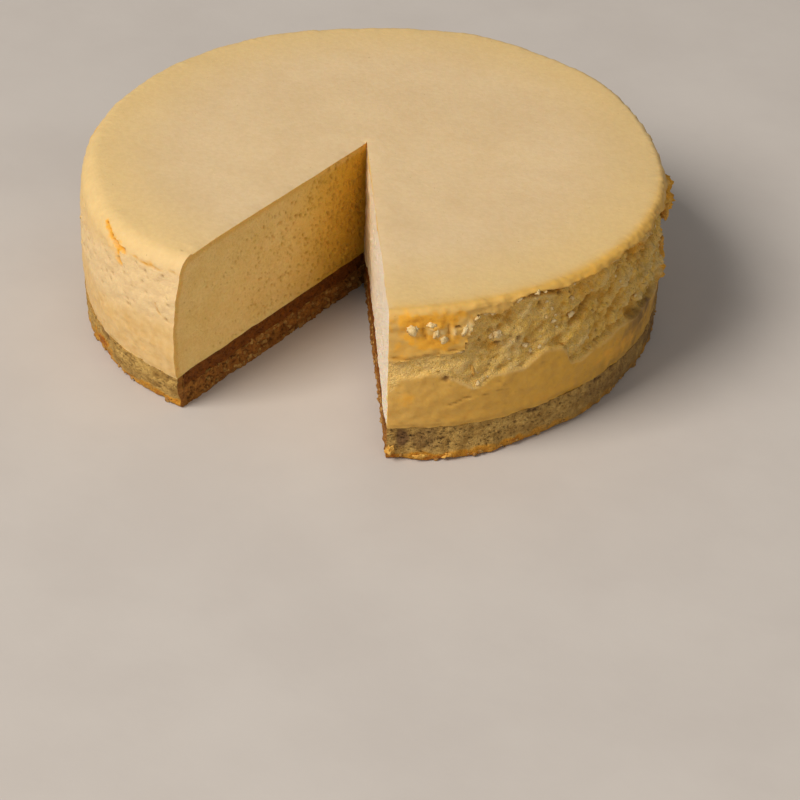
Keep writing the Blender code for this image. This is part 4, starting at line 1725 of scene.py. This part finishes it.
@dataclass(frozen=True)
class BakedSkin(Finish):
    """The filling's outside: tan on top, golden down the side, pale and rough where torn.

    Attributes:
        top: Colours of the top, between which it clouds.
        rim: Colour towards the rim.
        flank: Colours of the smooth side, lit and with painted shade.
        torn: Colours of the torn band, lit and with painted shade.
        dusk: Darker tan of the fine mottling.
        shade: Warmer tan of the wider mottling on the side.
        curd: Colour of pale lumps, also painted as highlights along the top of the lower band and on raised
            lumps of the torn band.
        toast: Orange of the baked patches, light and strong; they also paint shade in the torn band's hollows
            and low on the far right.
        overbake_and_shade: Dark brown of overbaked areas, and of the painted shade on the far right, under
            the top skin's edge and in the torn band's hollows.
        pit: Dark colour painted inside pits and cracks as shade.
    """

    name: str = "baked_skin"
    roughness: float = 0.52
    glow: float = 0.10
    top: tuple[Colour, Colour] = ((0.71, 0.505, 0.27), (0.74, 0.535, 0.292))
    rim: Colour = (0.73, 0.50, 0.20)
    flank: tuple[Colour, Colour] = ((0.72, 0.48, 0.20), (0.68, 0.36, 0.034))
    torn: tuple[Colour, Colour] = ((0.68, 0.47, 0.235), (0.93, 0.56, 0.090))
    dusk: Colour = (0.50, 0.315, 0.120)
    shade: Colour = (0.58, 0.30, 0.050)
    curd: Colour = (0.82, 0.61, 0.29)
    toast: tuple[Colour, Colour] = ((0.82, 0.39, 0.036), (0.50, 0.18, 0.012))
    overbake_and_shade: Colour = (0.22, 0.115, 0.024)
    pit: Colour = (0.23, 0.10, 0.022)

    def dress(self) -> bpy.types.Material:
        """Builds the material."""
        material, draft, shader = self.start()
        place = draft.place()
        height = draft.add("SeparateXYZ", {0: place}).outputs[2]
        wide = draft.clouds(place, 26.0, 0.36, 0.64)
        small = draft.clouds(place, 3.2, 0.35, 0.68)
        crumble = draft.crumble(place, 1.3)
        # Painted shade: where this mask is high, the colours turn to the shaded one of each pair and the
        # mottling grows.
        painted_shade = draft.mask("painted_shade")
        soft = draft.ramp(painted_shade, 4.5, 0.35)
        torn = draft.ragged(place, draft.mask("inside_mm"), 1.6, soft)
        flank = draft.spread(height, 0.0560, 0.0420)
        flat = draft.add("VectorMath", {0: place, 1: (1.0, 1.0, 0.0)}, operation="MULTIPLY").outputs[0]
        out = draft.add("VectorMath", {0: flat}, operation="LENGTH").outputs[1]
        rim = draft.spread(out, 0.060, 0.101)
        fine = draft.clouds(place, 1.9, 0.32, 0.68)
        # Towards the rim the top turns the rim colour, and on the shaded side the shaded flank colour.
        edge = draft.blend(draft.times(painted_shade, draft.spread(out, 0.095, 0.1015)), self.rim, self.flank[1])
        top = draft.blend(draft.times(rim, 0.85), draft.blend(wide, *self.top), edge)
        mottle = draft.times(small, draft.ramp(painted_shade, 0.32, 0.6))
        side = draft.blend(mottle, draft.blend(painted_shade, *self.flank), self.shade)
        skin = draft.blend(draft.times(fine, 0.15), draft.blend(flank, top, side), self.dusk)
        grains = draft.times(crumble.outputs["Shade"], 0.35)
        crumb = draft.blend(grains, draft.blend(painted_shade, *self.torn), self.curd)
        crumb = draft.blend(draft.times(fine, draft.times(painted_shade, 0.30)), crumb, self.dusk)
        colour = draft.blend(torn, skin, crumb)
        # Pale: real curds, and painted highlights along the lower band's top edge and on raised lumps.
        colour = draft.blend(draft.mask("pale"), colour, self.curd)
        uneven = draft.plus(draft.times(small, 0.65), 0.6)
        # Orange: baked patches, and painted shade in the hollows and low on the far right.
        toast = draft.times(draft.mask("toast"), uneven)
        colour = draft.blend(draft.spread(toast, 0.05, 0.85), colour, self.toast[0])
        colour = draft.blend(draft.spread(toast, 0.80, 1.55), colour, self.toast[1])
        # Dark brown from overbaking and from painted shade.
        colour = draft.blend(draft.spread(draft.mask("shade"), 0.0, 1.0), colour, self.overbake_and_shade)
        flecks = draft.spots(place, 2.4, 0.42, 0.085)
        colour = draft.blend(draft.times(flecks, 0.55), colour, (0.36, 0.20, 0.07))
        # Painted shade inside pits and cracks.
        colour = draft.blend(draft.times(draft.mask("pit"), 0.82), colour, self.pit)
        draft.feed(shader.inputs["Base Color"], colour)
        draft.feed(shader.inputs["Roughness"], draft.ramp(torn, self.roughness, 0.74))
        pebble = draft.noise(place, 620.0, 4.0)
        grain = draft.times(draft.times(torn, crumble.outputs["Height"]), draft.plus(painted_shade, 0.25))
        self.bump(draft, shader, draft.plus(grain, draft.times(pebble, 0.15)), 0.6)
        return material


@dataclass(frozen=True)
class CutFilling(Finish):
    """The filling where it is cut: creamy and pored, golden close to the skin.

    Attributes:
        cream: Colour of the lit cut, and of the cut with painted shade.
        inner: Darker colour painted close to the tip as shade.
        rind: Colour close to the skin.
        pore: Dark colour painted inside pores as shade.
        rind_mm: Thickness of the golden line.
    """

    name: str = "cut_filling"
    roughness: float = 0.5
    glow: float = 0.30
    cream: tuple[Colour, Colour] = ((0.86, 0.72, 0.54), (0.97, 0.620, 0.105))
    inner: Colour = (0.68, 0.36, 0.024)
    rind: Colour = (0.80, 0.48, 0.105)
    pore: Colour = (0.58, 0.31, 0.040)
    rind_mm: float = 2.1

    def dress(self) -> bpy.types.Material:
        """Builds the material."""
        material, draft, shader = self.start()
        place = draft.place()
        clouds = draft.clouds(place, 9.0, 0.35, 0.65)
        crumble = draft.crumble(place, 1.5)
        edge = draft.minus(self.rind_mm, draft.mask("rind_mm"))
        rind = draft.ragged(place, edge, 1.0, 0.8)
        pores = draft.spots(place, 1.7, 0.4, 0.17)
        pore = draft.maths("MAXIMUM", draft.times(pores, 0.45), draft.mask("pit"))
        fine = draft.clouds(place, 1.1, 0.38, 0.62)
        # Painted shade: the cut at -X and the tip take the darker cream and the inner colour.
        painted_shade = draft.mask("painted_shade")
        colour = draft.blend(painted_shade, *self.cream)
        colour = draft.blend(draft.spread(painted_shade, 0.7, 1.05), colour, self.inner)
        mottle = draft.times(draft.plus(clouds, fine), 0.17)
        colour = draft.blend(draft.times(mottle, draft.plus(painted_shade, 0.2)), colour, self.inner)
        colour = draft.blend(draft.times(rind, 0.8), colour, self.rind)
        # Painted shade inside the pores.
        colour = draft.blend(draft.times(pore, draft.plus(painted_shade, 0.1)), colour, self.pore)
        draft.feed(shader.inputs["Base Color"], colour)
        height = draft.minus(crumble.outputs["Height"], pores)
        self.bump(draft, shader, height, 0.40)
        return material


@dataclass(frozen=True)
class CrumbFinish(Finish):
    """Crumbs of the base, pressed or cut.

    Attributes:
        crumb: Colours of the grains.
        grease: Golden orange of the greasy lower edge and crusts.
        crust: Deeper orange in the middle of the crusts.
        stain_and_shade: Colour of dark patches, from real staining and from painted shade low on the far
            right.
        pore: Dark colour painted inside pores as shade.
        grain_mm: Size of the grains.
        pores: Share of the surface with fine pores.
    """

    name: str = "pressed_crumb"
    roughness: float = 0.7
    glow: float = 0.05
    crumb: tuple[Colour, Colour] = ((0.31, 0.165, 0.034), (0.57, 0.355, 0.100))
    grease: Colour = (0.56, 0.25, 0.022)
    crust: Colour = (0.42, 0.13, 0.010)
    stain_and_shade: Colour = (0.15, 0.072, 0.026)
    pore: Colour = (0.10, 0.05, 0.02)
    grain_mm: float = 1.4
    pores: float = 0.5

    def dress(self) -> bpy.types.Material:
        """Builds the material."""
        material, draft, shader = self.start()
        place = draft.place()
        crumble = draft.crumble(place, self.grain_mm)
        clouds = draft.clouds(place, 4.0, 0.34, 0.66)
        pores = draft.spots(place, 0.9, self.pores, 0.24)
        shade = draft.times(draft.plus(crumble.outputs["Shade"], clouds), 0.5)
        colour = draft.blend(shade, *self.crumb)
        grease = draft.times(draft.mask("toast"), draft.plus(clouds, 0.6))
        colour = draft.blend(draft.spread(grease, 0.1, 0.9), colour, self.grease)
        colour = draft.blend(draft.spread(grease, 0.8, 1.5), colour, self.crust)
        # Dark patches: real staining, and painted shade on the far right.
        colour = draft.blend(draft.mask("dark"), colour, self.stain_and_shade)
        # Painted shade inside the pores.
        pore = draft.maths("MAXIMUM", draft.times(pores, 0.7), draft.mask("pit"))
        colour = draft.blend(draft.times(pore, 0.85), colour, self.pore)
        draft.feed(shader.inputs["Base Color"], colour)
        self.bump(draft, shader, draft.minus(crumble.outputs["Height"], draft.times(pores, 0.6)), 0.45)
        return material


@dataclass(frozen=True)
class LumpFinish(Finish):
    """Curds and flakes.

    Attributes:
        pair: Colours between which the lumps vary.
    """

    name: str = "pale_curd"
    roughness: float = 0.85
    glow: float = 0.03
    pair: tuple[Colour, Colour] = ((0.68, 0.44, 0.16), (0.86, 0.66, 0.34))

    def dress(self) -> bpy.types.Material:
        """Builds the material."""
        material, draft, shader = self.start()
        place = draft.place()
        clouds = draft.clouds(place, 1.6, 0.3, 0.7)
        crumble = draft.crumble(place, 0.8)
        draft.feed(shader.inputs["Base Color"], draft.blend(clouds, *self.pair))
        self.bump(draft, shader, crumble.outputs["Height"], 0.2)
        return material


@dataclass(frozen=True)
class FloorPaper(Finish):
    """Plain pale floor.

    Attributes:
        paper: Colours between which it clouds faintly.
    """

    name: str = "floor_paper"
    roughness: float = 0.8
    paper: tuple[Colour, Colour] = ((0.535, 0.480, 0.428), (0.565, 0.510, 0.455))

    def dress(self) -> bpy.types.Material:
        """Builds the material."""
        material, draft, shader = self.start()
        place = draft.place()
        clouds = draft.clouds(place, 60.0, 0.3, 0.7)
        draft.feed(shader.inputs["Base Color"], draft.blend(clouds, *self.paper))
        self.bump(draft, shader, draft.noise(place, 160.0, 4.0), 0.2, 0.3)
        return material


# --------------------------------------------------------------------------- studio


@dataclass
class Studio:
    """Plain pale floor, soft light and the camera.

    Attributes:
        form: The cake's form.
        azimuth: How far the camera stands to the right of looking along +Y, in degrees.
        elevation: How steeply it looks down, in degrees.
        distance: Distance from the cake's axis, in cake radii.
        aside: Sideways and upward place of the cake's axis in the view, in cake radii.
        roll: Turn of the camera about its own line of sight, in degrees.
        lens: Focal length in millimetres on a sensor 36 mm wide.
    """

    form: CakeForm
    azimuth: float = 15.3
    elevation: float = 34.02
    distance: float = 10.092
    aside: tuple[float, float] = (-0.1096, 0.3442)
    roll: float = 1.4226
    lens: float = 128.09

    def place_camera(self) -> None:
        """Makes the camera and makes it the scene's camera."""
        turn, tilt = math.radians(self.azimuth), math.radians(self.elevation)
        right = Vector((math.cos(turn), math.sin(turn), 0.0))
        ahead = Vector((-math.sin(turn) * math.cos(tilt), math.cos(turn) * math.cos(tilt), -math.sin(tilt)))
        up = right.cross(ahead)
        place = -self.aside[0] * right - self.aside[1] * up - self.distance * ahead
        camera = linked("camera", bpy.data.cameras.new("camera"))
        axes = Matrix((right, up, -ahead)).transposed().to_4x4()
        spot = Vector((*self.form.axis, 0.0)) + place * self.form.radius
        rolled = Matrix.Rotation(math.radians(self.roll), 4, "Z")
        camera.matrix_world = Matrix.Translation(spot) @ axes @ rolled
        camera.data.lens = self.lens
        camera.data.sensor_width = 36.0
        camera.data.clip_start = 0.01
        camera.data.dof.use_dof = False
        bpy.context.scene.camera = camera

    def area_light(
        self, name: str, heading: float, height: float, far: float, size: float, power: float, colour: Colour
    ) -> None:
        """Adds a soft square light aimed at the cake.

        Args:
            name: Name of the light.
            heading: Direction in which it stands, in degrees from +X.
            height: How high it stands, in degrees over the floor.
            far: Distance from the cake.
            size: Length of its side.
            power: Its power in watts.
            colour: Its colour.
        """
        data = bpy.data.lights.new(name, "AREA")
        data.shape = "SQUARE"
        data.size = size
        data.energy = power
        data.color = colour
        light = linked(name, data)
        turn, rise = math.radians(heading), math.radians(height)
        flat = math.cos(rise)
        spot = Vector((math.cos(turn) * flat, math.sin(turn) * flat, math.sin(rise))) * far
        light.location = spot
        light.rotation_euler = (Vector((0.0, 0.0, 0.02)) - spot).to_track_quat("-Z", "Y").to_euler()

    def light(self) -> None:
        """Sets the soft key from the left, and an even pale surrounding light."""
        world = bpy.data.worlds.new("surround")
        world.use_nodes = True
        world.node_tree.nodes["Background"].inputs["Color"].default_value = (0.93, 0.96, 1.0, 1.0)
        world.node_tree.nodes["Background"].inputs["Strength"].default_value = 0.225
        bpy.context.scene.world = world
        self.area_light("key", 229.0, 46.0, 4.0, 1.9, 161.0, (1.0, 0.965, 0.925))
        self.area_light("fill", 305.0, 28.0, 3.0, 2.0, 15.0, (1.0, 0.95, 0.88))

    def floor(self) -> bpy.types.Object:
        """Lays the floor."""
        bpy.ops.mesh.primitive_plane_add(size=6.0, location=(0.0, 0.0, 0.0))
        floor = bpy.context.object
        floor.name = "floor"
        floor.data.materials.append(FloorPaper().dress())
        return floor

    def build(self) -> None:
        """Makes the camera, lights and floor, and sets how light turns into colour."""
        self.place_camera()
        self.light()
        self.floor()
        bpy.context.scene.view_settings.view_transform = "Standard"


@dataclass
class Cheesecake:
    """The whole cake: its layers and the lumps on them.

    Attributes:
        form: The cake's form.
    """

    form: CakeForm

    def put(
        self, obj: bpy.types.Object, finishes: list[bpy.types.Material], node: str = ""
    ) -> None:
        """Dresses a piece, hides the solid that it replaces and hangs it on the root body.

        Args:
            obj: The piece.
            finishes: Its materials, in the order of its mesh's material numbers.
            node: The solid that it replaces, if any.
        """
        for finish in finishes:
            obj.data.materials.append(finish)
        if node:
            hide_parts(node)
        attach(obj, "root")
        obj.data.calc_loop_triangles()
        LOG.info("%s: %d triangles", obj.name, len(obj.data.loop_triangles))

    def build(self) -> None:
        """Makes every piece."""
        filling = CheeseFilling(self.form, bottom=0.0135)
        base = CrumbBase(self.form)
        # The pore colours below paint shade inside the pores.
        crumb = CrumbFinish(
            "cut_crumb",
            crumb=((0.21, 0.070, 0.008), (0.42, 0.175, 0.028)),
            pore=(0.06, 0.018, 0.003),
            grain_mm=1.1,
            pores=0.3,
        )
        brown = CrumbFinish(
            "brown_filling",
            crumb=((0.14, 0.038, 0.002), (0.26, 0.078, 0.004)),
            pore=(0.05, 0.012, 0.002),
            grain_mm=1.0,
            pores=0.25,
        )
        self.put(filling.build(), [BakedSkin().dress(), CutFilling().dress()], "cheese_filling")
        self.put(base.build(), [CrumbFinish().dress(), crumb.dress()], "crumb_base")
        browned = brown.dress()
        self.put(BrownLayer(self.form).build(), [browned, browned], "brown_layer")
        scatter = Scatter(self.form, filling, base)
        self.put(Bits("pale_curds", scatter.pale()).build(), [LumpFinish().dress()])
        golden = LumpFinish("golden_flake", pair=((0.60, 0.28, 0.04), (0.76, 0.44, 0.10)))
        self.put(Bits("golden_flakes", scatter.golden(), 4).build(), [golden.dress()])
        crumbs = LumpFinish("loose_crumb", 0.7, 0.05, pair=((0.26, 0.11, 0.020), (0.52, 0.29, 0.08)))
        self.put(Bits("loose_crumbs", scatter.crumbs(), 2).build(), [crumbs.dress()])


def main() -> None:
    """Builds the studio and the cake."""
    logging.basicConfig(level=logging.INFO, format="%(name)s: %(message)s")
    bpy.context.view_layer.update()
    form = CakeForm(height=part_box("cheese_filling")[1].z)
    Studio(form).build()
    Cheesecake(form).build()


if __name__ == "__main__":
    main()
